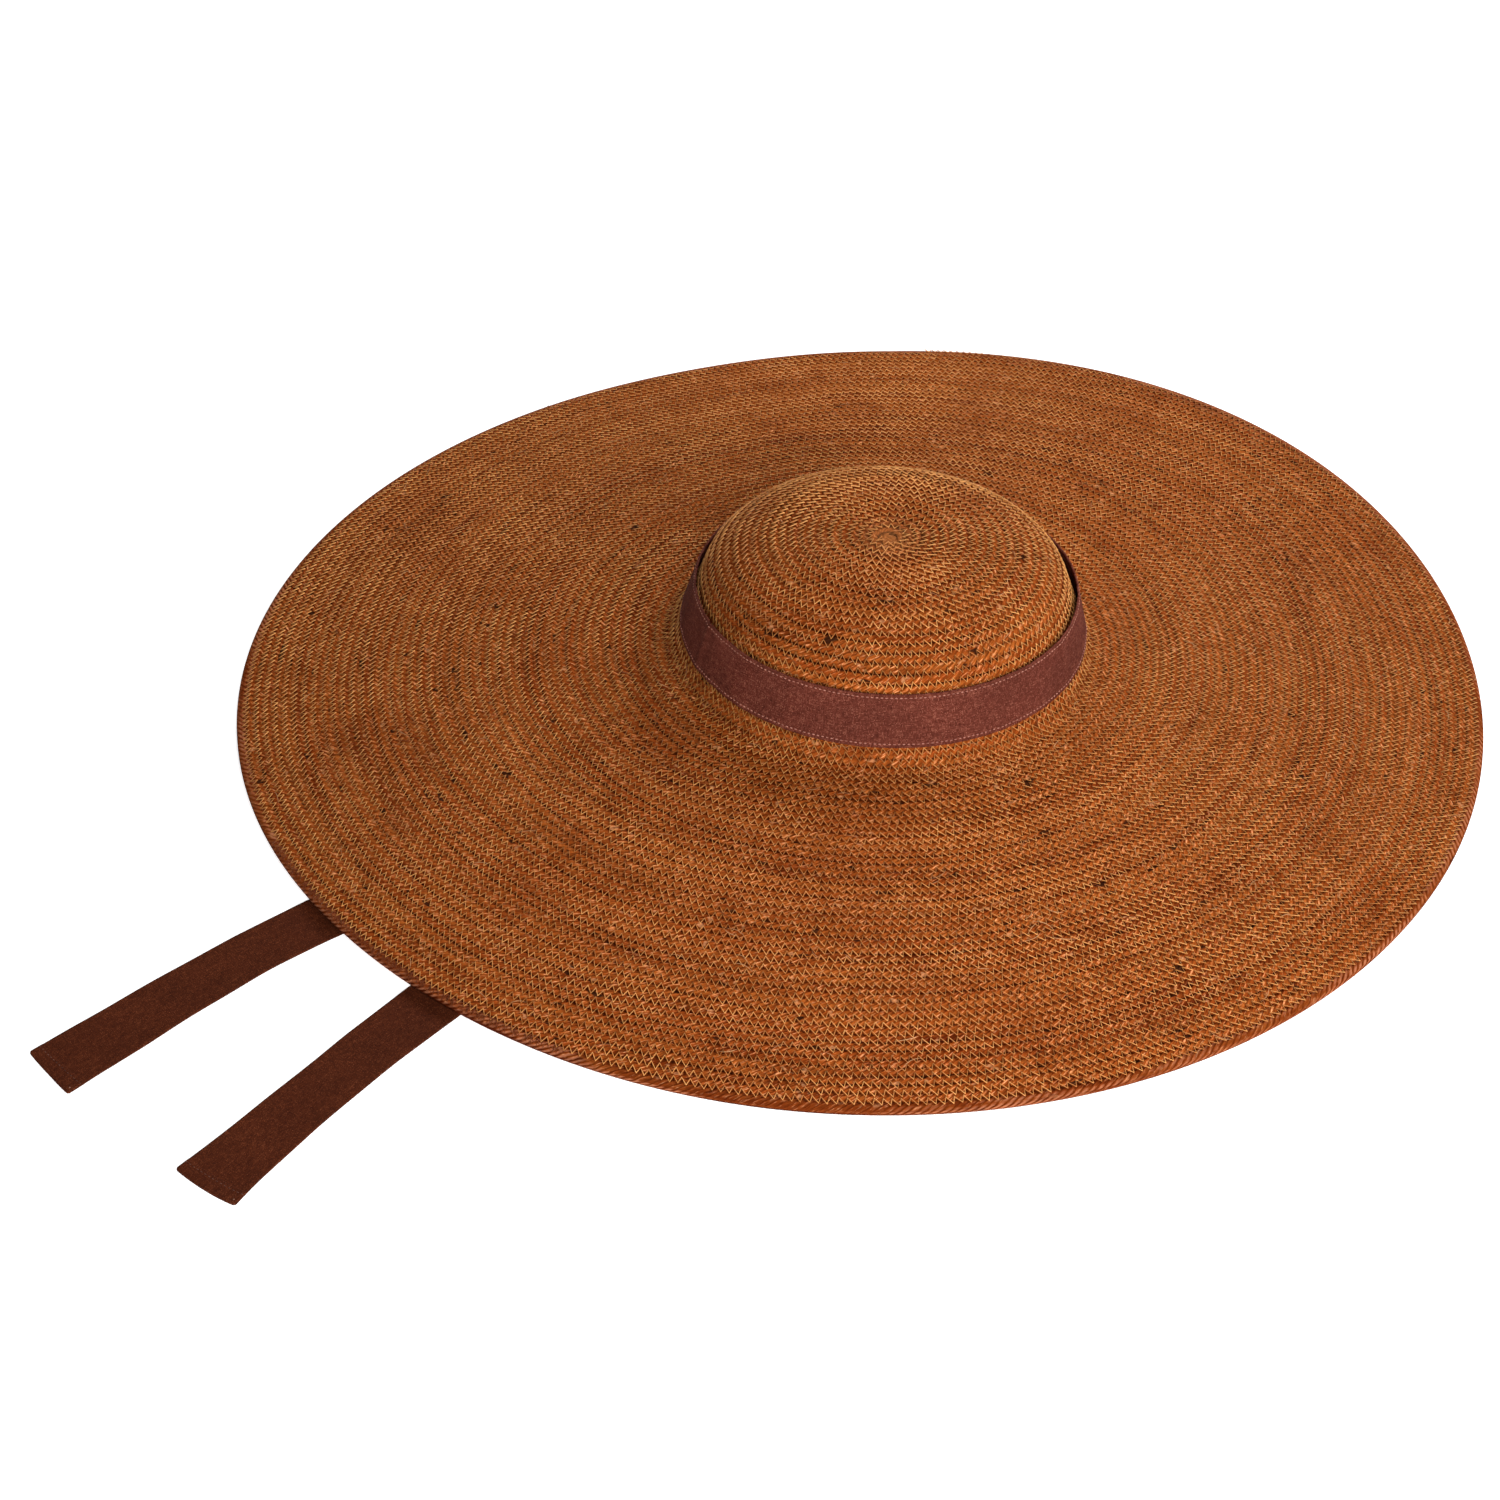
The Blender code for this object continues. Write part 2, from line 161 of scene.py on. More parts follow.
def brim_curve(degrees):
    """The brim in section in one direction, down its middle: reach and height, evenly spaced along it."""
    out = heading(degrees)
    start = (crown_radius[-1] + CLEARANCE * math.cos(SEAM_SLOPE),
             crown_height[-1] - CLEARANCE * math.sin(SEAM_SLOPE))
    placed = on_crown(start[0], degrees, start[1]) - AXIS
    near, far = placed @ out, rim_reach(degrees) - RIM_ROUND
    flare = FOOT_BEND * (math.sin(SEAM_SLOPE) - math.sin(BRIM_SLOPE))
    flare_rise = flare / 2 * (math.tan(SEAM_SLOPE) - math.tan(BRIM_SLOPE))
    low, end = placed[2] - flare_rise, rim_height(degrees) + WALL / 2
    bow = BRIM_BOW + BOW_SWING * math.cos(math.radians(degrees - BOW_SWING_TOWARDS))
    reach = near + (far + RIM_ROUND - near) * np.linspace(0.0, 1.0, SECTION_STEPS) ** SECTION_CROWDING
    share = (reach - near) / (far - near)
    height = low + (end - low) * share + 4.0 * bow * share * (1.0 - share)
    height += flare_rise * np.maximum(0.0, 1.0 - (reach - near) / flare) ** 2
    run = distance_along(np.stack((reach, height), -1))
    even = np.linspace(0.0, run[-1], SECTION_STEPS)
    return np.stack((np.interp(even, run, reach), np.interp(even, run, height)), -1)


brim_table = np.array([brim_curve(float(d)) for d in range(360)])


def turns_across_brim(around):
    """How many widths of cord lie between the crown and the rim, which takes up the cord's taper."""
    past = np.mod(around, 1.0)
    fall = np.clip((past - 1.0 + COIL_TAPER) / COIL_TAPER, 0.0, 1.0)
    return BRIM_TURNS + np.where(fall > 0, (1.0 - COIL_TAPER) * (1.0 - fall * fall * (3 - 2 * fall)), past)


def coil_at(around, turn):
    """Places in the middle of the straw: around is turns round the hat, and turn is turns from the centre."""
    around, turn = np.asarray(around, float), np.asarray(turn, float)
    degrees = 360.0 * around + COIL_END
    run = np.clip(turn / CROWN_TURNS, 0.0, 1.0) * crown_run[-1]
    radius = np.interp(run, crown_run, crown_radius)
    fade = np.clip(1.0 - run / CENTRE_SHIFT_REACH, 0.0, 1.0) ** 2
    level = radius[..., None] * heading(degrees)[..., :2] + fade[..., None] * CENTRE_SHIFT
    radius = np.where(fade > 0, np.hypot(level[..., 0], level[..., 1]), radius)
    turned_to = np.where(fade > 0, np.degrees(np.arctan2(level[..., 1], level[..., 0])), degrees)
    crown = on_crown(radius, turned_to, np.interp(radius, crown_radius, crown_height))
    share = np.clip((turn - CROWN_TURNS) / turns_across_brim(around), 0.0, 1.0)
    row, column = np.mod(degrees, 360.0), share * (brim_table.shape[1] - 1)
    i, j = np.floor(row).astype(int) % 360, np.minimum(np.floor(column).astype(int), brim_table.shape[1] - 2)
    a, b = (row - np.floor(row))[..., None], (column - j)[..., None]
    line = ((1 - a) * ((1 - b) * brim_table[i, j] + b * brim_table[i, j + 1])
            + a * ((1 - b) * brim_table[(i + 1) % 360, j] + b * brim_table[(i + 1) % 360, j + 1]))
    brim = line[..., :1] * heading(degrees) + AXIS
    brim[..., 2] += line[..., 1]
    return np.where((turn > CROWN_TURNS)[..., None], brim, crown)


def unit(vectors):
    """The same directions, 1 long."""
    return vectors / np.maximum(np.linalg.norm(vectors, axis=-1, keepdims=True), 1e-12)


def rounds(first, last, step):
    """Numbers of turns round the hat from first to last, in steps of about that length."""
    places, at = [], first
    while at < last:
        places.append(at)
        if at < CROWN_TURNS:
            radius = max(CROWN_PITCH * (at + 0.5), FIRST_ROUND)
        else:
            radius = BRIM_ROUND + BRIM_PITCH * (at - CROWN_TURNS)
        at += min(step / (2 * math.pi * radius), 1 / FEWEST_STEPS)
    return np.array(places + [last])


def winding(around, in_seam=False):
    """The cord's middle, or the seam outside it, at those numbers of turns, with the ways across and up, half
    of the pitch, how much of its thickness is left and how far along it each place is."""
    past = np.mod(around, 1.0)
    room = turns_across_brim(around) - BRIM_TURNS + 1 - past
    width = np.where(around >= LAST_TURN, np.clip(room, 0.0, 1.0), 1.0)
    turn = around + (width if in_seam else width / 2)
    middle = coil_at(around, turn)
    inner, outer = coil_at(around, np.maximum(turn - 0.5, 0.0)), coil_at(around, turn + 0.5)
    outer = np.where((turn + 0.5 > CROWN_TURNS + turns_across_brim(around))[:, None], middle, outer)
    along = unit(np.gradient(middle, axis=0))
    across = outer - inner
    pitch = np.linalg.norm(across, axis=1)
    pitch = np.where(np.all(outer == middle, axis=1), 2 * pitch, pitch)
    pitch = np.where(around < 1.0, crown_run[-1] / CROWN_TURNS, pitch)
    up = unit(np.cross(across, along))
    return {"middle": middle, "side": unit(np.cross(along, up)), "up": up, "half": pitch / 2 * np.sqrt(width),
            "rise": np.sqrt(np.maximum(width, THINNEST_END)), "along": distance_along(middle)}


STITCH_LENGTH = 0.0037      # one zigzag of the thread that joins the turns, measured along the seam
SEAM_STEP = 0.0030
seam_rounds = rounds(0.0, float(LAST_TURN), SEAM_STEP)
seam_stitches = winding(seam_rounds, in_seam=True)["along"] / STITCH_LENGTH


def stitches_by(around):
    """How many stitches the seam outside the cord has had at those numbers of turns."""
    return np.interp(around, seam_rounds, seam_stitches)


def keep_values(mesh, name, values):
    """Stores a number or a vector for each point of a mesh under that name."""
    values = np.asarray(values, np.float32)
    kind, field = ("FLOAT_VECTOR", "vector") if values.ndim == 2 else ("FLOAT", "value")
    mesh.attributes.new(name, kind, "POINT").data.foreach_set(field, values.ravel())


def line_object(name, line):
    """A line of edges that carries those values at its points, for Geometry Nodes to work on."""
    mesh = bpy.data.meshes.new(name)
    count = len(line["middle"])
    mesh.from_pydata(line["middle"].tolist(), [(i, i + 1) for i in range(count - 1)], [])
    for key, values in line.items():
        if key != "middle":
            keep_values(mesh, key, values)
    return in_scene(name, mesh)


def add(tree, kind, inputs=(), **settings):
    """A node with its settings, its inputs given as values or as other nodes' outputs."""
    made = tree.nodes.new(kind)
    for name, value in settings.items():
        setattr(made, name, value)
    for name, value in dict(inputs).items():
        socket = made.inputs[name]
        if isinstance(value, bpy.types.NodeSocket):
            tree.links.new(value, socket)
        else:
            socket.default_value = value
    return made


def maths(tree, operation, *values):
    return add(tree, "ShaderNodeMath", enumerate(values), operation=operation).outputs[0]


def vectors(tree, operation, *values, scale=None):
    given = dict(enumerate(values))
    if scale is not None:
        given["Scale"] = scale
    made = add(tree, "ShaderNodeVectorMath", given, operation=operation)
    return made.outputs["Value" if operation in ("DOT_PRODUCT", "LENGTH", "DISTANCE") else "Vector"]


def joined(tree, x=0.0, y=0.0, z=0.0):
    return add(tree, "ShaderNodeCombineXYZ", {0: x, 1: y, 2: z}).outputs[0]


def parted(tree, vector):
    return add(tree, "ShaderNodeSeparateXYZ", {0: vector}).outputs


def new_geometry_tree(name, sizes):
    """An empty Geometry Nodes tree with named inputs. sizes maps each name to its kind of socket."""
    tree = bpy.data.node_groups.new(name, "GeometryNodeTree")
    tree.interface.new_socket("Geometry", in_out="INPUT", socket_type="NodeSocketGeometry")
    for title, kind in sizes.items():
        tree.interface.new_socket(title, in_out="INPUT", socket_type="NodeSocket" + kind)
    tree.interface.new_socket("Geometry", in_out="OUTPUT", socket_type="NodeSocketGeometry")
    return tree, tree.nodes.new("NodeGroupInput").outputs, tree.nodes.new("NodeGroupOutput").inputs


def carried(tree, name, kind="FLOAT_VECTOR"):
    """What a line carries under that name."""
    return add(tree, "GeometryNodeInputNamedAttribute", {"Name": name}, data_type=kind).outputs["Attribute"]


def stored(tree, geometry, name, value, kind="FLOAT_VECTOR"):
    return add(tree, "GeometryNodeStoreNamedAttribute", {"Geometry": geometry, "Name": name, "Value": value},
               data_type=kind, domain="POINT").outputs[0]


def finished(tree, geometry, material, end, leftovers):
    """The end of every tree: smooth, without the line's own values, real and with its material."""
    for leftover in leftovers:
        given = {"Geometry": geometry, "Name": leftover}
        geometry = add(tree, "GeometryNodeRemoveAttribute", given).outputs[0]
    smooth = add(tree, "GeometryNodeSetShadeSmooth", {"Geometry": geometry}).outputs[0]
    real = add(tree, "GeometryNodeRealizeInstances", {"Geometry": smooth}).outputs[0]
    dressed = add(tree, "GeometryNodeSetMaterial", {"Geometry": real, "Material": material}).outputs[0]
    tree.links.new(dressed, end[0])


def circle(tree, sides, radius):
    """The section of a cord or thread."""
    return add(tree, "GeometryNodeCurvePrimitiveCircle", {"Resolution": sides, "Radius": radius}).outputs[0]


def swept(tree, curve, ring, **more):
    """A section drawn along a curve, with its ends closed."""
    given = {"Curve": curve, "Profile Curve": ring, "Fill Caps": True, **more}
    return add(tree, "GeometryNodeCurveToMesh", given).outputs[0]


def kept_above_floor(tree, geometry, place=None):
    """Puts the points in their place, and flattens against the surface the part that rests on it."""
    if place is None:
        place = tree.nodes.new("GeometryNodeInputPosition").outputs[0]
    apart = parted(tree, place)
    resting = joined(tree, apart[0], apart[1], maths(tree, "MAXIMUM", apart[2], 0.0))
    return add(tree, "GeometryNodeSetPosition", {"Geometry": geometry, "Position": resting}).outputs[0]


def grown(name, source, tree, **values):
    """The plain mesh that a tree makes from an object, as a new object. The source goes."""
    modifier = source.modifiers.new("made", "NODES")
    modifier.node_group = tree
    wanted = {title.replace("_", " "): value for title, value in values.items()}
    for socket in tree.interface.items_tree:
        if socket.item_type == "SOCKET" and socket.in_out == "INPUT" and socket.name in wanted:
            modifier[socket.identifier] = wanted[socket.name]
    bpy.context.view_layer.update()
    graph = bpy.context.evaluated_depsgraph_get()
    mesh = bpy.data.meshes.new_from_object(source.evaluated_get(graph), preserve_all_data_layers=True,
                                           depsgraph=graph)
    mesh.name = name
    bpy.data.objects.remove(source, do_unlink=True)
    return in_scene(name, mesh)


def cord_tree():
    """Sweeps a flattened round section along the cord's line, as wide as the pitch there. Its points keep
    where they are on the cord for the material: metres along it, and shares of its half width and height."""
    tree, sizes, end = new_geometry_tree("cord", {
        "Sides": "Int", "Half Thickness": "Float", "Overlap": "Float", "Squareness": "Float",
        "Material": "Material"})
    curve = add(tree, "GeometryNodeMeshToCurve", {0: sizes["Geometry"]}).outputs[0]
    curve = stored(tree, curve, "centre", tree.nodes.new("GeometryNodeInputPosition").outputs[0])
    share = tree.nodes.new("GeometryNodeSplineParameter").outputs["Factor"]
    ring = stored(tree, circle(tree, sizes["Sides"], 0.001), "spin", share, "FLOAT")
    tube = swept(tree, curve, ring)
    spin = maths(tree, "MULTIPLY", carried(tree, "spin", "FLOAT"), 2 * math.pi)

    def squared(value):
        size = maths(tree, "POWER", maths(tree, "ABSOLUTE", value), sizes["Squareness"])
        return maths(tree, "MULTIPLY", size, maths(tree, "SIGN", value))

    across, upward = squared(maths(tree, "COSINE", spin)), squared(maths(tree, "SINE", spin))
    half_width = maths(tree, "MULTIPLY", across, carried(tree, "half", "FLOAT"))
    wide = maths(tree, "MULTIPLY", half_width, sizes["Overlap"])
    high = maths(tree, "MULTIPLY", maths(tree, "MULTIPLY", upward, carried(tree, "rise", "FLOAT")),
                 sizes["Half Thickness"])
    place = vectors(tree, "ADD", vectors(tree, "ADD", carried(tree, "centre"),
                                         vectors(tree, "SCALE", carried(tree, "side"), scale=wide)),
                    vectors(tree, "SCALE", carried(tree, "up"), scale=high))
    placed = kept_above_floor(tree, tube, place)
    on_cord = joined(tree, carried(tree, "along", "FLOAT"), across, upward)
    marked = stored(tree, placed, "cord", on_cord)
    finished(tree, marked, sizes["Material"], end, ("centre", "spin", "side", "up", "half", "rise", "along"))
    return tree


def new_shader_group(name, inputs, outputs):
    """An empty shader group. inputs and outputs map each name to its kind of socket."""
    group = bpy.data.node_groups.new(name, "ShaderNodeTree")
    for title, kind in inputs.items():
        group.interface.new_socket(title, in_out="INPUT", socket_type="NodeSocket" + kind)
    for title, kind in outputs.items():
        group.interface.new_socket(title, in_out="OUTPUT", socket_type="NodeSocket" + kind)
    return group, group.nodes.new("NodeGroupInput").outputs, group.nodes.new("NodeGroupOutput").inputs


def spread_over(tree, value, low, high, to_low=0.0, to_high=1.0):
    """A value's range stretched to another, and held there."""
    given = {"Value": value, "From Min": low, "From Max": high, "To Min": to_low, "To Max": to_high}
    return add(tree, "ShaderNodeMapRange", given).outputs["Result"]


def mixed(tree, share, one, other, how="MIX"):
    """Two colours mixed."""
    made = add(tree, "ShaderNodeMix", {0: share, 6: one, 7: other}, data_type="RGBA", blend_type=how)
    return made.outputs[2]


def times(tree, colour, strength):
    """A colour made darker or brighter."""
    grey = add(tree, "ShaderNodeCombineColor", {0: strength, 1: strength, 2: strength}).outputs[0]
    return mixed(tree, 1.0, colour, grey, "MULTIPLY")


def noise(tree, place, scale, detail=2.0, roughness=0.5):
    """Soft random patches, from 0 to 1."""
    given = {"Vector": place, "Scale": scale, "Detail": detail, "Roughness": roughness}
    return add(tree, "ShaderNodeTexNoise", given).outputs["Fac"]


def read_value(tree, name, kind="Vector"):
    """What a mesh stores under that name, as its material reads it."""
    return add(tree, "ShaderNodeAttribute", (), attribute_name=name).outputs[kind]


FIBRES_ALONG, FIBRES_ACROSS = 210.0, 1150.0     # patches of fibre to a metre, along and across them
WANDER, WANDERS_BY_METRE = 0.0012, 160.0        # how far the fibres stray, and how often to a metre


def twisted_fibre_group():
    """Fibres and strands that run slantwise round a cord. Cord is a point's place on it, Lean the fibres'
    angle to it, Girth its radius and Strand the width of one of its strands."""
    group, given, out = new_shader_group(
        "twisted fibre", {"Cord": "Vector", "Girth": "Float", "Lean": "Float", "Strand": "Float"},
        {"Strands": "Float", "Fibres": "Float"})
    apart = parted(group, given["Cord"])
    round_it = maths(group, "MULTIPLY", maths(group, "ARCTAN2", apart[2], apart[1]), given["Girth"])
    cosine, sine = maths(group, "COSINE", given["Lean"]), maths(group, "SINE", given["Lean"])
    lengthwise = maths(group, "ADD", maths(group, "MULTIPLY", apart[0], cosine),
                       maths(group, "MULTIPLY", round_it, sine))
    crosswise = maths(group, "SUBTRACT", maths(group, "MULTIPLY", round_it, cosine),
                      maths(group, "MULTIPLY", apart[0], sine))
    patches = noise(group, joined(group, apart[0], round_it), WANDERS_BY_METRE)
    wandering = maths(group, "ADD", crosswise, maths(group, "MULTIPLY", patches, WANDER))
    phase = maths(group, "MULTIPLY", maths(group, "DIVIDE", wandering, given["Strand"]), math.pi)
    strands = maths(group, "ABSOLUTE", maths(group, "SINE", phase))
    group.links.new(maths(group, "POWER", strands, 0.6), out["Strands"])
    drawn = joined(group, maths(group, "MULTIPLY", lengthwise, FIBRES_ALONG),
                   maths(group, "MULTIPLY", wandering, FIBRES_ACROSS))
    group.links.new(noise(group, drawn, 1.0, 3.0, 0.6), out["Fibres"])
    return group


def mottling_group():
    """Slow and quick changes of tone along a cord, and rare marks on it. Slow, Quick and Mark Length are in
    metres, and a higher Rarity makes fewer marks."""
    group, given, out = new_shader_group(
        "mottling",
        {"Cord": "Vector", "Slow": "Float", "Quick": "Float", "Mark Length": "Float", "Rarity": "Float"},
        {"Slow Tone": "Float", "Quick Tone": "Float", "Marks": "Float"})
    apart = parted(group, given["Cord"])

    def along(length, shift):
        return joined(group, maths(group, "ADD", maths(group, "DIVIDE", apart[0], length), shift),
                      maths(group, "MULTIPLY", apart[1], 0.6), maths(group, "MULTIPLY", apart[2], 0.6))

    group.links.new(noise(group, along(given["Slow"], 3.7), 1.0), out["Slow Tone"])
    group.links.new(noise(group, along(given["Quick"], 61.3), 1.0, 3.0), out["Quick Tone"])
    marks = noise(group, along(given["Mark Length"], 17.1), 1.0, 1.0)
    full = maths(group, "ADD", given["Rarity"], 0.05)
    group.links.new(spread_over(group, marks, given["Rarity"], full), out["Marks"])
    return group


def new_material(name, roughness, gloss):
    """A plain material to work on, with its tree and its shader."""
    made = bpy.data.materials.new(name)
    made.use_nodes = True
    tree = made.node_tree
    shader = tree.nodes["Principled BSDF"]
    shader.inputs["Roughness"].default_value = roughness
    shader.inputs["Specular IOR Level"].default_value = gloss
    return made, tree, shader


def use(tree, group, **inputs):
    """A shader group placed in a material, with its inputs."""
    given = {name.replace("_", " "): value for name, value in inputs.items()}
    return add(tree, "ShaderNodeGroup", given, node_tree=group).outputs


def raw_colour(red, green, blue):
    """A colour in linear values."""
    return (red, green, blue, 1.0)


TWIST = twisted_fibre_group()
MOTTLE = mottling_group()
CORD_DEEP = raw_colour(.105, .013, .0015)
CORD_RUST = raw_colour(.260, .050, .007)
CORD_OCHRE = raw_colour(.40, .108, .018)
CORD_BLACK = raw_colour(.018, .006, .003)
CORD_PALE = raw_colour(.70, .32, .14)
# Painted shade: near-black for the seams between turns and the stitches' bends.
CORD_SHADE = raw_colour(.045, .007, .0012)
CORD_CREST_HIGHLIGHT = raw_colour(.60, .235, .120)
CORD_WORN = raw_colour(.42, .170, .055)
CORD_GIRTH, CORD_LEAN, CORD_STRAND = 0.0022, math.radians(32.0), 0.0019
STITCH_WIDTH, STITCH_SLANT = 0.0034, 0.31       # the thread's swing, and how far its outer bends run ahead
HALF_TURN_WIDTH, BEND_SHADE_WIDTH = 0.0023, 0.36      # half of the cord's width, and of the painted shade triangle at a bend's open end


def stitch_bend_shade(tree, cord, seams):
    """Painted shade where the thread draws the cord in: a small dark triangle between the two legs at each bend
    of it.
    """
    across, stitch = parted(tree, cord)[1], parted(tree, seams)
    outer = maths(tree, "GREATER_THAN", across, 0.0)
    inner_phase = maths(tree, "SUBTRACT", stitch[1], 0.5 + STITCH_SLANT)
    phase = maths(tree, "ADD", inner_phase,
                  maths(tree, "MULTIPLY", outer, maths(tree, "SUBTRACT", stitch[0], inner_phase)))
    phase = maths(tree, "SUBTRACT", maths(tree, "FRACT", maths(tree, "ADD", phase, 0.5)), 0.5)
    inwards = maths(tree, "SUBTRACT", 1.0, maths(tree, "ABSOLUTE", across))
    from_seam = maths(tree, "MULTIPLY", inwards, HALF_TURN_WIDTH)
    open_by = spread_over(tree, from_seam, STITCH_WIDTH / 2, 0.0, 0.0, 0.5)
    side = maths(tree, "SUBTRACT", maths(tree, "MULTIPLY", outer, 2.0), 1.0)
    middle = maths(tree, "MULTIPLY", maths(tree, "MULTIPLY", open_by, STITCH_SLANT), side)
    away = maths(tree, "ABSOLUTE", maths(tree, "SUBTRACT", phase, middle))
    inside = maths(tree, "SUBTRACT", maths(tree, "MULTIPLY", open_by, BEND_SHADE_WIDTH), away)
    return spread_over(tree, inside, -0.02, 0.07)


def straw_material():
    """Rust-coloured twisted straw with paler and darker stretches, a few black and pale flecks, and painted
    shade between its strands, in the seams and where the stitches draw it in. It is redder at the rim, with
    painted highlights on its strands' crests there, and worn in the middle."""
    made, tree, shader = new_material("straw_cord", 0.85, 0.02)
    cord, seams = read_value(tree, "cord"), read_value(tree, "seams")
    twist = use(tree, TWIST, Cord=cord, Girth=CORD_GIRTH, Lean=CORD_LEAN, Strand=CORD_STRAND)
    dark = use(tree, MOTTLE, Cord=cord, Slow=0.060, Quick=0.010, Mark_Length=0.010, Rarity=0.70)
    pale = use(tree, MOTTLE, Cord=vectors(tree, "ADD", cord, (31.0, 0.0, 0.0)), Slow=0.240, Quick=0.0022,
               Mark_Length=0.0055, Rarity=0.70)
    tone = mixed(tree, spread_over(tree, dark["Slow Tone"], 0.26, 0.48), CORD_DEEP, CORD_RUST)
    tone = mixed(tree, spread_over(tree, pale["Slow Tone"], 0.42, 0.70, 0.0, 0.45), tone, CORD_OCHRE)
    tone = mixed(tree, spread_over(tree, dark["Quick Tone"], 0.48, 0.72, 0.0, 0.55), tone, CORD_OCHRE)
    tone = mixed(tree, spread_over(tree, twist["Fibres"], 0.57, 0.70, 0.0, 0.75), tone, CORD_PALE)
    tone = times(tree, tone, spread_over(tree, twist["Fibres"], 0.28, 0.62, 0.38, 1.45))
    # Painted shade: darker in the valleys between the twisted strands.
    tone = mixed(tree, spread_over(tree, twist["Strands"], 0.15, 0.60, 0.65, 0.0), tone, CORD_DEEP)
    tone = mixed(tree, maths(tree, "MULTIPLY", pale["Marks"], 0.55), tone, CORD_PALE)
    tone = mixed(tree, maths(tree, "MULTIPLY", dark["Marks"], 0.9), tone, CORD_BLACK)
    # Painted shade: darker towards the cord's edges, in the seams between turns.
    across = maths(tree, "ABSOLUTE", parted(tree, cord)[1])
    groove_shade = maths(tree, "MULTIPLY", spread_over(tree, across, 0.60, 0.84),
                   spread_over(tree, pale["Slow Tone"], 0.53, 0.42, 0.20, 1.0))
    tone = mixed(tree, groove_shade, tone, CORD_SHADE)
    # Painted shade: near-black at each stitch's bend. The same mask sinks the bump there.
    bend_shade_and_dimple = stitch_bend_shade(tree, cord, seams)
    tone = mixed(tree, maths(tree, "MULTIPLY", bend_shade_and_dimple, 0.9), tone, CORD_SHADE)
    rim_and_worn_middle = parted(tree, seams)[2]
    rim = spread_over(tree, rim_and_worn_middle, 0.0, 1.0)
    tone = mixed(tree, maths(tree, "MULTIPLY", rim, 0.5), tone, CORD_DEEP)
    # Painted highlights: paler strand crests on the rim's last turn.
    crest_highlights = maths(tree, "MULTIPLY", spread_over(tree, twist["Strands"], 0.72, 0.98, 0.0, 0.45),
                   spread_over(tree, dark["Slow Tone"], 0.44, 0.60))
    tone = mixed(tree, maths(tree, "MULTIPLY", crest_highlights, rim), tone, CORD_CREST_HIGHLIGHT)
    worn = times(tree, CORD_WORN, spread_over(tree, twist["Fibres"], 0.3, 0.7, 0.6, 1.25))
    tone = mixed(tree, spread_over(tree, rim_and_worn_middle, 0.0, -1.0, 0.0, 0.45), tone, worn)
    tree.links.new(tone, shader.inputs["Base Color"])
    relief = maths(tree, "ADD", twist["Strands"], maths(tree, "MULTIPLY", twist["Fibres"], 0.8))
    relief = maths(tree, "SUBTRACT", relief, maths(tree, "MULTIPLY", bend_shade_and_dimple, 1.5))
    bump = add(tree, "ShaderNodeBump", {"Strength": 0.9, "Distance": 0.00040, "Height": relief})
    tree.links.new(bump.outputs[0], shader.inputs["Normal"])
    return made


STRAW = straw_material()
CORD = cord_tree()
SIDES, CORD_OVERLAP, CORD_SQUARENESS = 8, 1.14, 0.58
FIRST_SEWN, LAST_SEWN, WORN_TURNS = 0.15, LAST_TURN - 0.04, 4.0      # in turns from the centre
NO_STITCH_OUTSIDE, NO_STITCH_INSIDE = 0.5, STITCH_SLANT             # where the thread's bends are never met
RIM_FADE = 0.2                          # turns over which the cord takes on the rim's darker red and painted crest highlights
BUTTON, BUTTON_HEIGHT = 0.0042, 0.99    # radius of the coil's start, and its share of the cord's thickness
COILS = (("crown_coil", "crown", 0.0, float(CROWN_TURNS), 0.0050),
         ("brim_coil", "brim", float(CROWN_TURNS), LAST_TURN + 0.997, 0.0062))
# piece, node that it stands for, first and last turn, and length of a step along the cord


def joined_pieces(name, pieces):
    """One object from several."""
    with bpy.context.temp_override(active_object=pieces[0], selected_editable_objects=pieces,
                                   selected_objects=pieces):
        bpy.ops.object.join()
    pieces[0].name = pieces[0].data.name = name
    return pieces[0]


def smooth_piece(name, mesh, material):
    """An object from a finished mesh, shaded smooth."""
    mesh.polygons.foreach_set("use_smooth", [True] * len(mesh.polygons))
    mesh.materials.append(material)
    return in_scene(name, mesh)


def coil_button():
    """The small round start of the coil, in the middle of the crown."""
    shape = bmesh.new()
    bmesh.ops.create_uvsphere(shape, u_segments=16, v_segments=10, radius=1.0)
    mesh = bpy.data.meshes.new("coil_button")
    shape.to_mesh(mesh)
    shape.free()
    ball = np.array([v.co[:] for v in mesh.vertices])
    centre = coil_at(np.array([0.0]), np.array([0.0]))
    placed = (ball * (BUTTON, BUTTON, BUTTON_HEIGHT * WALL / 2)) @ lean.T + centre
    mesh.vertices.foreach_set("co", placed.astype(np.float32).ravel())
    keep_values(mesh, "cord", ball * (BUTTON, 0.6, 0.6))
    keep_values(mesh, "seams", ball * 0.0 - (0.0, 0.0, 1.0))
    return smooth_piece("coil_button", mesh, STRAW)


for title, node, first, last, step in COILS:
    around = rounds(first, last, step)
    cord_line = winding(around)
    sewn_outside = (around > FIRST_SEWN) & (around < LAST_SEWN)
    inner_stitches = np.where(around > FIRST_SEWN + 1.0, stitches_by(around - 1.0), NO_STITCH_INSIDE)
    outer_stitches = np.where(sewn_outside, stitches_by(around), NO_STITCH_OUTSIDE)
    # Near the rim the cord turns darker red and gets painted highlights on its strands' crests. Near the middle
    # it looks worn.
    at_rim = np.clip((around - LAST_TURN) / RIM_FADE + 1.0, 0.0, 1.0)
    rim_and_worn_middle = at_rim - np.clip(1.0 - around / WORN_TURNS, 0.0, 1.0)
    cord_line["seams"] = np.stack((outer_stitches, inner_stitches, rim_and_worn_middle), -1)
    coil = grown(title, line_object(title + "_line", cord_line), CORD, Sides=SIDES, Half_Thickness=WALL / 2,
                 Overlap=CORD_OVERLAP, Squareness=CORD_SQUARENESS, Material=STRAW)
    if node == "crown":
        coil = joined_pieces(title, [coil, coil_button()])
    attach(coil, "root")
    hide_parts(node)


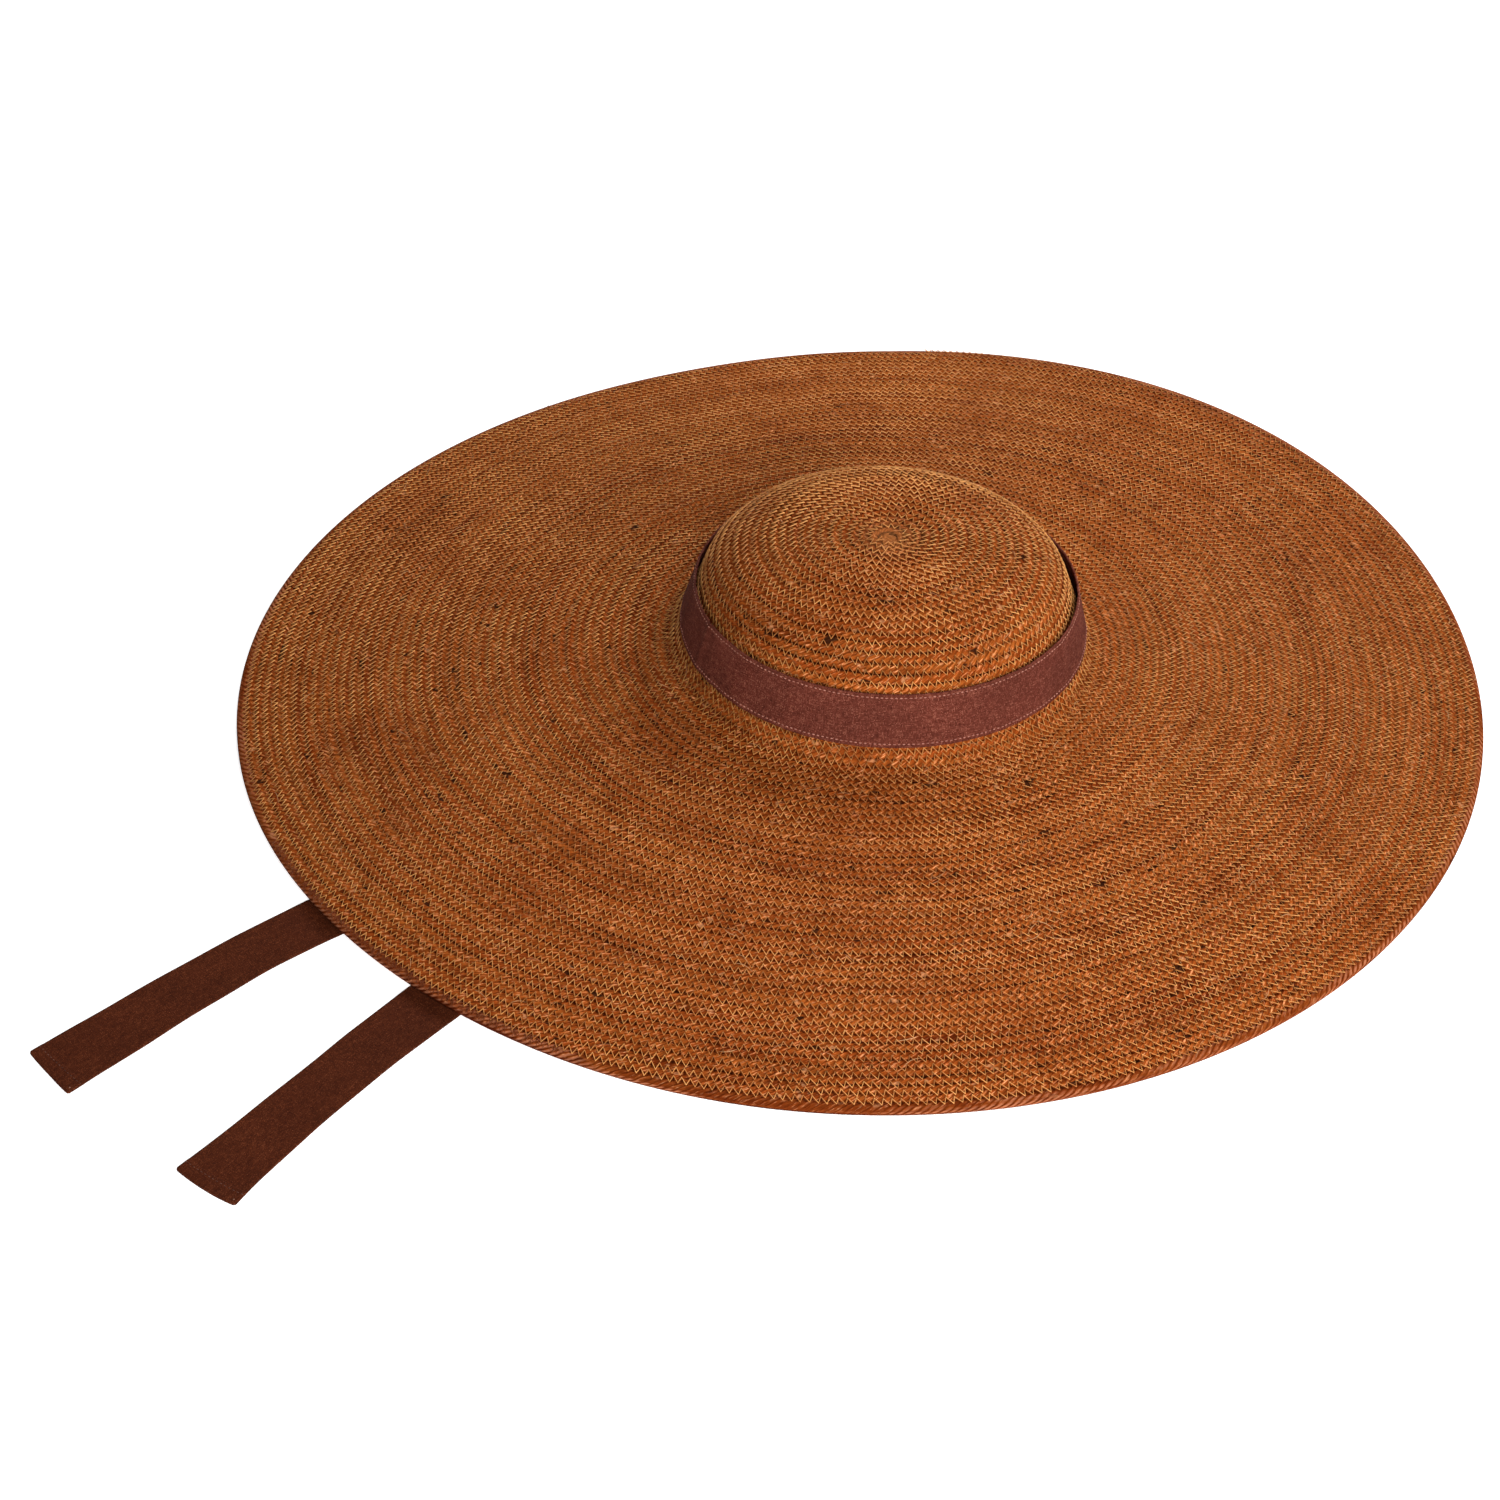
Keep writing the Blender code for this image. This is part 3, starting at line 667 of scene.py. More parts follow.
# The stitches: a golden thread sewn zigzag over the seam between each two turns, on the outside and on the
# inside alike. Each leg bridges the groove and its ends sink into the cord.
THREAD_RISE, CROWN_RISE = 0.00230, 1.05         # over the straw's middle, and its factor on the crown's outside
FINE_THREAD, FULL_THREAD = 0.00033, 0.00042     # the thread is fuller on the outside of the crown
THREAD_SIDES = 3
STITCHES = (
    ("crown_stitches_outside", FIRST_SEWN, float(CROWN_TURNS), CROWN_RISE * THREAD_RISE, FULL_THREAD, 11),
    ("crown_stitches_inside", FIRST_SEWN, float(CROWN_TURNS), -THREAD_RISE, FINE_THREAD, 12),
    ("brim_stitches_above", float(CROWN_TURNS), LAST_SEWN, THREAD_RISE, FINE_THREAD, 13),
    ("brim_stitches_below", float(CROWN_TURNS), LAST_SEWN, -THREAD_RISE, FINE_THREAD, 14))
# piece, first and last turn that is sewn, height above the middle of the straw, radius of the thread, seed


def zigzag_tree():
    """A thread that swings from side to side at each point of the seam's line, with a little unevenness."""
    tree, sizes, end = new_geometry_tree("zigzag thread", {
        "Stitch Length": "Float", "Stitch Width": "Float", "Slant": "Float", "Thread": "Float",
        "Rise": "Float", "Seed": "Int", "Material": "Material"})
    curve = add(tree, "GeometryNodeMeshToCurve", {0: sizes["Geometry"]}).outputs[0]
    index = tree.nodes.new("GeometryNodeInputIndex").outputs[0]
    outer = maths(tree, "MODULO", index, 2.0)
    swing = maths(tree, "SUBTRACT", maths(tree, "MULTIPLY", outer, 2.0), 1.0)

    def chance(low, high, shift):
        """A random number for each bend of the thread."""
        given = {"Min": low, "Max": high, "ID": index, "Seed": maths(tree, "ADD", sizes["Seed"], shift)}
        made = add(tree, "FunctionNodeRandomValue", (), data_type="FLOAT")
        for socket in made.inputs:
            if socket.name in given and socket.enabled:
                value = given[socket.name]
                if isinstance(value, bpy.types.NodeSocket):
                    tree.links.new(value, socket)
                else:
                    socket.default_value = value
        return [s for s in made.outputs if s.enabled][0]

    swung = maths(tree, "MULTIPLY", swing, sizes["Stitch Width"])
    reach = maths(tree, "MULTIPLY", swung, chance(0.44, 0.56, 1.0))
    across = vectors(tree, "SCALE", carried(tree, "side"), scale=reach)
    upward = vectors(tree, "SCALE", carried(tree, "up"),
                     scale=maths(tree, "MULTIPLY", sizes["Rise"], chance(0.97, 1.04, 2.0)))
    ahead = maths(tree, "ADD", maths(tree, "MULTIPLY", outer, sizes["Slant"]), chance(-0.05, 0.05, 3.0))
    tangent = tree.nodes.new("GeometryNodeInputTangent").outputs[0]
    onward = vectors(tree, "SCALE", tangent, scale=maths(tree, "MULTIPLY", sizes["Stitch Length"], ahead))
    moved = vectors(tree, "ADD", vectors(tree, "ADD", across, upward), onward)
    curve = add(tree, "GeometryNodeSetPosition", {"Geometry": curve, "Offset": moved}).outputs[0]
    curve = stored(tree, curve, "tone", chance(0.0, 1.0, 4.0), "FLOAT")
    thread = swept(tree, curve, circle(tree, THREAD_SIDES, sizes["Thread"]))
    leftovers = ("side", "up", "half", "rise", "along")
    finished(tree, kept_above_floor(tree, thread), sizes["Material"], end, leftovers)
    return tree


def on_piece(tree):
    """A point's place on the piece."""
    return tree.nodes.new("ShaderNodeTexCoord").outputs["Object"]


def thread_material():
    """Golden sewing thread, each stitch a little different, with darker stretches."""
    made, tree, shader = new_material("seam_thread", 0.6, 0.15)
    tone = read_value(tree, "tone", "Fac")
    slow = noise(tree, on_piece(tree), 22.0, 3.0)
    colour = mixed(tree, tone, raw_colour(.48, .170, .036), raw_colour(.86, .400, .120))
    colour = mixed(tree, spread_over(tree, slow, 0.42, 0.68, 0.0, 0.6), colour, raw_colour(.36, .095, .018))
    tree.links.new(colour, shader.inputs["Base Color"])
    return made


ZIGZAG = zigzag_tree()
SEAM_THREAD = thread_material()
for title, first, last, rise, thread, seed in STITCHES:
    bends = np.arange(2 * math.ceil(stitches_by(first)), 2 * math.floor(stitches_by(last))) / 2
    seam_line = winding(np.interp(bends, seam_stitches, seam_rounds), in_seam=True)
    stitches = grown(title, line_object(title + "_line", seam_line), ZIGZAG, Stitch_Length=STITCH_LENGTH,
                     Stitch_Width=STITCH_WIDTH, Slant=STITCH_SLANT, Thread=thread, Rise=rise, Seed=seed,
                     Material=SEAM_THREAD)
    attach(stitches, "root")


# Loose fibres: short ends of straw that have worked out of the cord all over the hat, with a longer one at
# the back and a fringe of reddish ones on the rim above the ties. Each lies in a low bow on the straw.
FIBRE_THICKNESS, FIBRE_POINTS = 0.00018, 5
FIBRE_TIP, FIBRE_SINK = 0.35, 0.0003        # thickness of its ends as a share, and their depth in the cord
FIBRES = ((520, 3.0, LAST_TURN + 0.5, 0.0, 360.0, 0.004, 0.011, 0.0011, 0.0, 1.0),
          (300, LAST_TURN + 0.3, LAST_TURN + 0.5, 103.0, 142.0, 0.003, 0.006, 0.0010, 1.3, 0.45),
          (1, LAST_TURN - 3.0, LAST_TURN - 2.9, 0.0, 1.0, 0.021, 0.022, 0.0016, 0.0, 1.0))
# how many, between which turns, in which directions from the coil's end, shortest, longest, height of the
# bow, angle to the cord that they vary about, and their palest tone


def fibre_lines():
    """The fibres' bows as one set of separate lines, with how thick each is at each point."""
    draw = np.random.default_rng(31)
    places, edges, girths, tones = [], [], [], []
    for count, first, last, start, stop, shortest, longest, bow, turned, palest in FIBRES:
        for _ in range(count):
            turn = math.sqrt(draw.uniform(first ** 2, last ** 2))
            around = math.floor(turn) + draw.uniform(start, stop) / 360.0
            near = winding(around + np.linspace(-0.002, 0.002, 3))
            middle, up, side = near["middle"][1], near["up"][1], near["side"][1]
            angle, length = turned + draw.uniform(-0.9, 0.9), draw.uniform(shortest, longest)
            way = math.cos(angle) * np.cross(up, side) + math.sin(angle) * side
            bent = draw.uniform(-0.25, 0.25) * length * np.cross(up, way)
            height = WALL / 2 + draw.uniform(0.1, 1.0) * bow
            tone = draw.uniform(0.0, palest)
            for k in range(FIBRE_POINTS):
                t = k / (FIBRE_POINTS - 1)
                arch = 4.0 * t * (1.0 - t)
                level = (WALL / 2 - FIBRE_SINK) + (height - WALL / 2 + FIBRE_SINK) * arch
                places.append(middle + (t - 0.5) * length * way + arch * bent + level * up)
                girths.append(FIBRE_TIP + (1.0 - FIBRE_TIP) * arch)
                tones.append(tone)
                if k:
                    edges.append((len(places) - 2, len(places) - 1))
    mesh = bpy.data.meshes.new("fibre_lines")
    mesh.from_pydata(np.array(places).tolist(), edges, [])
    keep_values(mesh, "girth", girths)
    keep_values(mesh, "tone", tones)
    return in_scene("fibre_lines", mesh)


def fibre_tree():
    """Sweeps a thin section along every line, thinner towards its ends."""
    tree, sizes, end = new_geometry_tree("fibres", {"Thickness": "Float", "Material": "Material"})
    curve = add(tree, "GeometryNodeMeshToCurve", {0: sizes["Geometry"]}).outputs[0]
    radius = maths(tree, "MULTIPLY", carried(tree, "girth", "FLOAT"), sizes["Thickness"])
    strand = swept(tree, curve, circle(tree, THREAD_SIDES, 1.0), Scale=radius)
    finished(tree, kept_above_floor(tree, strand), sizes["Material"], end, ("girth",))
    return tree


def fibre_material():
    """Dry straw ends, from rust to pale."""
    made, tree, shader = new_material("loose_straw", 0.7, 0.15)
    share = spread_over(tree, read_value(tree, "tone", "Fac"), 0.35, 1.0)
    colour = mixed(tree, share, raw_colour(.17, .034, .007), raw_colour(.62, .32, .14))
    quick = spread_over(tree, noise(tree, on_piece(tree), 500.0, 2.0), 0.3, 0.7, 0.75, 1.2)
    tree.links.new(times(tree, colour, quick), shader.inputs["Base Color"])
    return made


loose_fibres = grown("loose_fibres", fibre_lines(), fibre_tree(), Thickness=FIBRE_THICKNESS,
                     Material=fibre_material())
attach(loose_fibres, "root")


# The band: a folded strip of maroon-brown linen, stitched along both edges, laid round the crown and lapped
# over itself at the back. It fits close at its lower edge and stands off the straw at the two sides above.
BAND_WIDTH, RIBBON_THICKNESS, BAND_FOOT = 0.0255, 0.0010, 0.0110
BAND_GAPE_RIGHT, BAND_GAPE_LEFT = 0.0032, 0.0020
BAND_START, BAND_LAP = 96.0, 12.0       # direction of the lap, and its length, in degrees
BAND_STEP, LAP_RISE = 0.8, 5.0          # degrees between points, and over which the lap rises onto the band
LAP_GAP, RIPPLE = 0.0001, 0.00012       # between the band and its lap, and the height of a ribbon's ripple
BAND_CREASES = ((203.0, 0.0008, 1.3), (214.0, -0.0004, 1.8), (330.0, 0.0004, 2.2))  # direction, depth, spread
EDGE_ROUND, LINEN_YARN = 0.0006, 0.00056        # reach of the folded edge's rounding, and width of a yarn
STITCH_INSET, TOPSTITCH_GAP, TOPSTITCH = 0.0018, 0.0022, 0.0014
TOPSTITCH_THREAD, TOPSTITCH_LIFT = 0.00050, 0.00005     # its thickness, and its middle above the cloth
TOPSTITCH_PULL, TOPSTITCH_GROOVE = 0.30, 0.00035        # how much it thins the cloth, and how far around
EDGE_ROWS = (0.0, 0.00012, 0.00035, 0.0008, 0.0013, STITCH_INSET, 0.0023, 0.0030)


def rows_across(half):
    """Places across a ribbon from edge to edge, closer together near the edges and the lines of stitching."""
    near = [-half + inset for inset in EDGE_ROWS]
    inner = np.linspace(-half + EDGE_ROWS[-1], half - EDGE_ROWS[-1], 14)[1:-1]
    return np.concatenate((near, inner, [-place for place in near[::-1]]))


def rounded_edge(away):
    """Share of a ribbon's thickness at that distance in from its folded edge."""
    return np.sqrt(np.clip(1.0 - (1.0 - np.clip(away / EDGE_ROUND, 0.0, 1.0)) ** 2, 0.04, 1.0))


def ribbon(name, middle, face, thickness, across_metres, material):
    """A closed strip of cloth from a grid of places in the middle of its thickness, with the way its outer
    side faces and its thickness at each. The points keep their place in the weave."""
    count, rows = thickness.shape
    along = distance_along(middle[:, rows // 2])
    top, under = middle + face * thickness[..., None] / 2, middle - face * thickness[..., None] / 2
    index = np.arange(count * rows).reshape(count, rows)
    below = index + count * rows

    def quads(a, b, c, d):
        return np.stack((a, b, c, d), -1).reshape(-1, 4)

    faces = np.concatenate((
        quads(index[:-1, :-1], index[1:, :-1], index[1:, 1:], index[:-1, 1:]),
        quads(below[:-1, :-1], below[:-1, 1:], below[1:, 1:], below[1:, :-1]),
        quads(index[:-1, 0], below[:-1, 0], below[1:, 0], index[1:, 0]),
        quads(index[:-1, -1], index[1:, -1], below[1:, -1], below[:-1, -1]),
        quads(index[0, :-1], index[0, 1:], below[0, 1:], below[0, :-1]),
        quads(index[-1, :-1], below[-1, :-1], below[-1, 1:], index[-1, 1:])))
    first, second = top[0, 1] - top[0, 0], top[1, 0] - top[0, 0]
    if np.cross(second, first) @ face[0, 0] < 0:
        faces = faces[:, ::-1]
    mesh = bpy.data.meshes.new(name)
    points = np.concatenate((top.reshape(-1, 3), under.reshape(-1, 3)))
    mesh.from_pydata(points.tolist(), [], faces.tolist())
    weave = np.stack(np.broadcast_arrays(along[:, None], across_metres, 0.0), -1).reshape(-1, 3)
    keep_values(mesh, "cloth", np.concatenate((weave, weave + np.array((0.0, 0.0, 1.0)))))
    return smooth_piece(name, mesh, material)


def waves(distance, seed, lengths, heights):
    """A gently uneven line: a few waves of those lengths and heights, with seeded starts."""
    starts = np.random.default_rng(seed).uniform(0.0, 2 * math.pi, len(lengths))
    return sum(h * np.sin(2 * math.pi * distance / l + s) for l, h, s in zip(lengths, heights, starts))


def linen_weave_group():
    """Plain weave of uneven yarns. Cloth is a point's place in the cloth, in metres along and across it, Yarn
    the width of a yarn and Slub how unevenly it runs."""
    group, given, out = new_shader_group("linen weave", {"Cloth": "Vector", "Yarn": "Float", "Slub": "Float"},
                                         {"Height": "Float", "Tone": "Float", "Flecks": "Float"})
    apart = parted(group, given["Cloth"])
    wander = maths(group, "MULTIPLY", maths(group, "SUBTRACT", noise(group, given["Cloth"], 300.0), 0.5),
                   maths(group, "MULTIPLY", given["Yarn"], given["Slub"]))
    along = maths(group, "DIVIDE", maths(group, "ADD", apart[0], wander), given["Yarn"])
    across = maths(group, "DIVIDE", maths(group, "ADD", apart[1], wander), given["Yarn"])
    wave_u = maths(group, "SINE", maths(group, "MULTIPLY", along, math.pi))
    wave_v = maths(group, "SINE", maths(group, "MULTIPLY", across, math.pi))
    pillow = maths(group, "MULTIPLY", wave_u, wave_v)
    group.links.new(maths(group, "POWER", maths(group, "ABSOLUTE", pillow), 0.45), out["Height"])
    floor_u, floor_v = maths(group, "FLOOR", along), maths(group, "FLOOR", across)
    odd = maths(group, "PINGPONG", maths(group, "ADD", floor_u, floor_v), 1.0)
    slow_v, slow_u = maths(group, "MULTIPLY", across, 0.12), maths(group, "MULTIPLY", along, 0.12)
    warp = noise(group, joined(group, maths(group, "MULTIPLY", floor_u, 0.9), slow_v, 3.0), 1.7, 3.0, 0.7)
    weft = noise(group, joined(group, slow_u, maths(group, "MULTIPLY", floor_v, 0.9), 9.0), 1.7, 3.0, 0.7)
    tone = maths(group, "ADD", weft, maths(group, "MULTIPLY", odd, maths(group, "SUBTRACT", warp, weft)))
    group.links.new(tone, out["Tone"])
    fleck = noise(group, joined(group, maths(group, "MULTIPLY", along, 0.22), across, 5.0), 1.1, 2.0, 0.6)
    group.links.new(spread_over(group, fleck, 0.60, 0.72), out["Flecks"])
    return group


WEAVE = linen_weave_group()


def linen_material(name, deep, plain, light, yarn):
    """Linen yarns of three tones in a plain weave, rough and dry, with pale flecks, slow changes and painted
    shade in the hollows between yarns.
    """
    made, tree, shader = new_material(name, 0.85, 0.05)
    cloth = read_value(tree, "cloth")
    weave = use(tree, WEAVE, Cloth=cloth, Yarn=yarn, Slub=1.6)
    tone = mixed(tree, spread_over(tree, weave["Tone"], 0.30, 0.52), deep, plain)
    tone = mixed(tree, spread_over(tree, weave["Tone"], 0.52, 0.75), tone, light)
    tone = mixed(tree, maths(tree, "MULTIPLY", weave["Flecks"], 0.35), tone, light)
    slow = noise(tree, on_piece(tree), 45.0, 3.0)
    tone = times(tree, tone, spread_over(tree, slow, 0.30, 0.70, 0.88, 1.12))
    # Painted shade: darker in the weave's hollows between yarns.
    tone = times(tree, tone, spread_over(tree, weave["Height"], 0.15, 0.75, 0.35, 1.12))
    tree.links.new(tone, shader.inputs["Base Color"])
    tree.links.new(spread_over(tree, weave["Height"], 0.0, 1.0, 0.95, 0.78), shader.inputs["Roughness"])
    bump = add(tree, "ShaderNodeBump", {"Strength": 0.8, "Distance": 0.00022, "Height": weave["Height"]})
    tree.links.new(bump.outputs[0], shader.inputs["Normal"])
    return made


def stitch_row_tree():
    """Short raised stitches, one after another along a line that carries which way the cloth faces."""
    tree, sizes, end = new_geometry_tree("stitch row", {
        "Spacing": "Float", "Length": "Float", "Thickness": "Float", "Material": "Material"})
    curve = add(tree, "GeometryNodeMeshToCurve", {0: sizes["Geometry"]}).outputs[0]
    curve = add(tree, "GeometryNodeResampleCurve", {"Curve": curve, "Length": sizes["Spacing"]},
                mode="LENGTH").outputs[0]
    along = stored(tree, curve, "way", tree.nodes.new("GeometryNodeInputTangent").outputs[0])
    points = add(tree, "GeometryNodeCurveToPoints", {0: along}, mode="EVALUATED").outputs[0]
    bead = add(tree, "GeometryNodeMeshUVSphere", {"Segments": 6, "Rings": 4, "Radius": 0.5}).outputs[0]
    size = joined(tree, sizes["Length"], maths(tree, "MULTIPLY", sizes["Thickness"], 1.2), sizes["Thickness"])
    bead = add(tree, "GeometryNodeTransform", {"Geometry": bead, "Scale": size}).outputs[0]
    upright = add(tree, "FunctionNodeAlignEulerToVector", {"Vector": carried(tree, "face")},
                  axis="Z").outputs[0]
    turned = add(tree, "FunctionNodeAlignEulerToVector",
                 {"Rotation": upright, "Vector": carried(tree, "way")}, axis="X", pivot_axis="Z").outputs[0]
    placed = add(tree, "GeometryNodeInstanceOnPoints",
                 {"Points": points, "Instance": bead, "Rotation": turned})
    real = add(tree, "GeometryNodeRealizeInstances", {"Geometry": placed.outputs[0]}).outputs[0]
    finished(tree, real, sizes["Material"], end, ("face", "way"))
    return tree


STITCH_ROW = stitch_row_tree()


def topstitch_material(name, dark, pale):
    """Matt cotton thread, paler and darker along its length."""
    made, tree, shader = new_material(name, 0.7, 0.2)
    slow = noise(tree, on_piece(tree), 900.0, 2.0)
    tree.links.new(mixed(tree, spread_over(tree, slow, 0.35, 0.65), dark, pale), shader.inputs["Base Color"])
    return made


BAND_LINEN = linen_material("band_linen", raw_colour(.060, .012, .007), raw_colour(.145, .034, .021),
                            raw_colour(.34, .110, .070), LINEN_YARN)
BAND_THREAD = topstitch_material("band_thread", raw_colour(.28, .095, .065), raw_colour(.55, .25, .18))
band_turn = np.arange(BAND_START, BAND_START + 360.0 + BAND_LAP + 0.01, BAND_STEP)
band_lean = math.pi / 2 - wall_slope
band_rows = rows_across(BAND_WIDTH / 2)
share_up = (band_rows / BAND_WIDTH + 0.5)[None, :]
sideways = np.cos(np.radians(band_turn))
gape = sideways ** 2 * np.where(sideways > 0, BAND_GAPE_RIGHT, BAND_GAPE_LEFT)
lap = np.clip((band_turn - (BAND_START + 360.0 - LAP_RISE)) / LAP_RISE, 0.0, 1.0)
lifted = (RIBBON_THICKNESS + LAP_GAP) * lap * lap * (3 - 2 * lap)
band_distance = np.radians(band_turn - BAND_START) * HEAD_RADIUS
for direction, depth, spread in BAND_CREASES:
    lifted = lifted + depth * np.exp(-((band_turn - direction) / spread) ** 2)
lifted = lifted[:, None] * (0.35 + 0.65 * np.sin(np.pi * (0.15 + 0.7 * share_up)))
band_waves = waves(band_distance[:, None] + 0.004 * share_up, 5, (0.0083, 0.0127, 0.031), (0.8, 0.7, 0.9))
lifted = lifted + RIPPLE * np.maximum(0.0, band_waves)
level = BAND_FOOT + BAND_WIDTH * math.cos(band_lean) * share_up
reach = wall_radius(level) + (WALL / 2 + CLEARANCE + RIBBON_THICKNESS / 2) / math.cos(band_lean)
reach = reach + gape[:, None] * share_up + lifted
band_middle = on_crown(reach, np.broadcast_to(band_turn[:, None], reach.shape),
                       np.broadcast_to(level, reach.shape))
band_face = unit(np.cross(np.gradient(band_middle, axis=0), np.gradient(band_middle, axis=1)))
if band_face[0, 0] @ (band_middle[0, 0] - AXIS) < 0:
    band_face = -band_face
edge_away = BAND_WIDTH / 2 - np.abs(band_rows)
end_away = np.minimum(band_distance, band_distance[-1] - band_distance)
thin = 1.0 - TOPSTITCH_PULL * np.exp(-((edge_away - STITCH_INSET) / TOPSTITCH_GROOVE) ** 2)
left_across, left_along = rounded_edge(edge_away) * thin, rounded_edge(end_away)
band_thickness = RIBBON_THICKNESS * left_across[None, :] * left_along[:, None]
hat_band = ribbon("band_ribbon", band_middle, band_face, band_thickness, band_rows, BAND_LINEN)

rows_of_stitches = []
for row in (EDGE_ROWS.index(STITCH_INSET), len(band_rows) - 1 - EDGE_ROWS.index(STITCH_INSET)):
    off_middle = band_thickness[:, row, None] / 2 + TOPSTITCH_LIFT
    outside = band_middle[:, row] + band_face[:, row] * off_middle
    stitch_line = line_object("band_stitch_line", {"middle": outside[2:-2], "face": band_face[2:-2, row]})
    rows_of_stitches.append(grown("band_stitches", stitch_line, STITCH_ROW, Spacing=TOPSTITCH_GAP,
                                  Length=TOPSTITCH, Thickness=TOPSTITCH_THREAD, Material=BAND_THREAD))
band_stitches = joined_pieces("band_topstitching", rows_of_stitches)
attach(hat_band, "root")
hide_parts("hat_band")
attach(band_stitches, "root")


# The ties: two long strips of dark brown linen, sewn inside the crown at the two sides. They drop to the
# surface, run under the brim and lie flat on the surface beyond the rim, with a narrow hem at each end.
TIE_WIDTH, TIE_TAB, TIE_LANDING, TIE_TURN_IN = 0.0275, 0.0200, 0.0500, 31.0
TAB_STEPS, DROP_STEPS, RUN_STEPS, SHOWN_STEPS = 8, 30, 70, 70
HEM, END_ROUND, END_SHAPED = 0.0080, 0.0014, 0.016      # the last is how far in its slope and bulge reach
WIDENING = 0.030        # stretch before the rim over which a tie takes the width that it has past it
RIPPLE_FROM, RIPPLE_OVER, EDGE_CURL = 0.012, 0.025, 0.0002      # past the rim
TIE_THIN, HEM_FOLD, HEM_STEP = 0.92, 0.55, 0.0006       # thickness as a share, the hem's extra, and its edge
HEM_INSET, HEM_PULL, HEM_GROOVE = 0.0012, 0.25, 0.0004  # of the hem's stitches, from the hem's inner edge
HEM_GAP, HEM_STITCH, HEM_THREAD, HEM_LIFT = 0.0021, 0.0013, 0.00034, 0.00004
OFF_SURFACE = 0.00002
TIES = (("tie_left", -1, 211.8, 217.0, 229.0, 0.1440, 0.0027, 0.0006, 21,
         (.0159, .0158, .0153, .0151, .0157, .0169, .0181),
         (.0139, .0129, .0139, .0152, .0156, .0148, .0146)),
        ("tie_right", 1, 226.6, 230.0, 235.5, 0.1375, 0.0009, 0.0012, 22,
         (.0155, .0154, .0153, .0152, .0155, .0169, .0184),
         (.0146, .0140, .0136, .0135, .0137, .0144, .0154)))
# name, side of the axis, direction where it leaves the rim, its way there and at its end, length shown, slope
# and bulge of its end, seed, and how far its far and near edge lie from its middle, from the rim to its end


def tie_path(side, exit_at, exit_way, end_way, shown):
    """The middle of a tie from its tab to its end, with the way across it where that is set, and its bend."""
    ear, up = TIE_AXIS + side * 90.0, np.array((0.0, 0.0, 1.0))
    fall, along_wall = heading(TIE_AXIS - side * TIE_TURN_IN), heading(ear + 90.0)
    tilt, steps = math.pi / 2 - wall_slope, []
    for i in range(TAB_STEPS + 1):
        level = WALL_FOOT + TIE_TAB * (1.0 - i / TAB_STEPS)
        radius = wall_radius(level) - (WALL / 2 + CLEARANCE + RIBBON_THICKNESS / 2) / math.cos(tilt)
        steps.append((on_crown(radius, ear, level) - AXIS, along_wall @ lean.T, 1.0 / radius))
    tab_end = steps[-1][0]
    floor_below = np.array((tab_end[0], tab_end[1], RIBBON_THICKNESS / 2))
    landing = floor_below + TIE_LANDING * fall
    across_fall = np.cross(fall, up)
    across_fall = across_fall if across_fall @ along_wall > 0 else -across_fall
    handles = np.array((tab_end, (tab_end + floor_below) / 2, landing - TIE_LANDING / 2 * fall, landing))
    for i in range(1, DROP_STEPS + 1):
        t = i / DROP_STEPS
        weights = np.array(((1 - t) ** 3, 3 * t * (1 - t) ** 2, 3 * t ** 2 * (1 - t), t ** 3))
        across = along_wall * (1 - t) + across_fall * t
        steps.append((weights @ handles, across, (1.0 - t) ** 2 / HEAD_RADIUS))
    rim_place = rim_reach(exit_at) * heading(exit_at) + RIBBON_THICKNESS / 2 * up
    length = np.linalg.norm(rim_place - landing)
    for i in range(1, RUN_STEPS + 1):
        t = i / RUN_STEPS
        start_share = 2 * t ** 3 - 3 * t ** 2 + 1
        bend = (t ** 3 - 2 * t ** 2 + t) * fall + (t ** 3 - t ** 2) * heading(exit_way)
        steps.append((start_share * landing + (1 - start_share) * rim_place + length * bend, None, 0.0))
    place = rim_place
    for i in range(1, SHOWN_STEPS + 1):
        share = i / SHOWN_STEPS
        way = exit_way + (end_way - exit_way) * (share - 0.5 / SHOWN_STEPS)
        place = place + shown / SHOWN_STEPS * heading(way)
        steps.append((place, None, 0.0))
    return steps


def tie_frames(steps, ear):
    """Turns the path into arrays: places, ways across and outwards, and bends."""
    places = np.array([step[0] for step in steps])
    acrosses, faces, last_across, last_face = [], [], None, heading(ear)
    for i, (place, across, _) in enumerate(steps):
        along = places[min(i + 1, len(steps) - 1)] - places[max(i - 1, 0)]
        if place[2] < RIBBON_THICKNESS / 2 + CLEARANCE:
            along[2] = 0.0
        along = unit(along)
        if across is None:
            across = np.cross(along, (0.0, 0.0, 1.0))
            across = across if across @ last_across > 0 else -across
        across = unit(across - across @ along * along)
        face = np.cross(across, along)
        face = face if face @ last_face > 0 else -face
        acrosses.append(across)
        faces.append(face)
        last_across, last_face = across, face
    return places, np.array(acrosses), np.array(faces), np.array([step[2] for step in steps])


TIE_LINEN = linen_material("tie_linen", raw_colour(.040, .008, .003), raw_colour(.080, .0168, .0055),
                           raw_colour(.17, .044, .017), LINEN_YARN)
TIE_THREAD = topstitch_material("tie_thread", raw_colour(.05, .016, .010), raw_colour(.16, .065, .042))
KNOT_THREAD = topstitch_material("knot_thread", raw_colour(.14, .055, .032), raw_colour(.34, .17, .11))
KNOT, KNOT_INSET, KNOT_LUMPS = 0.00050, 0.0020, 4


def edge_line(edge, along, rim_at, shown):
    """A smooth line through the places of a tie's edge past the rim, from half its width under the brim."""
    curve = np.polyfit(np.linspace(0.0, 1.0, len(edge)), edge, 3)
    begun = np.clip((along - rim_at) / WIDENING + 1.0, 0.0, 1.0)
    past_rim = np.clip((along - rim_at) / shown, 0.0, 1.0)
    return TIE_WIDTH / 2 * (1.0 - begun) + begun * np.polyval(curve, past_rim)


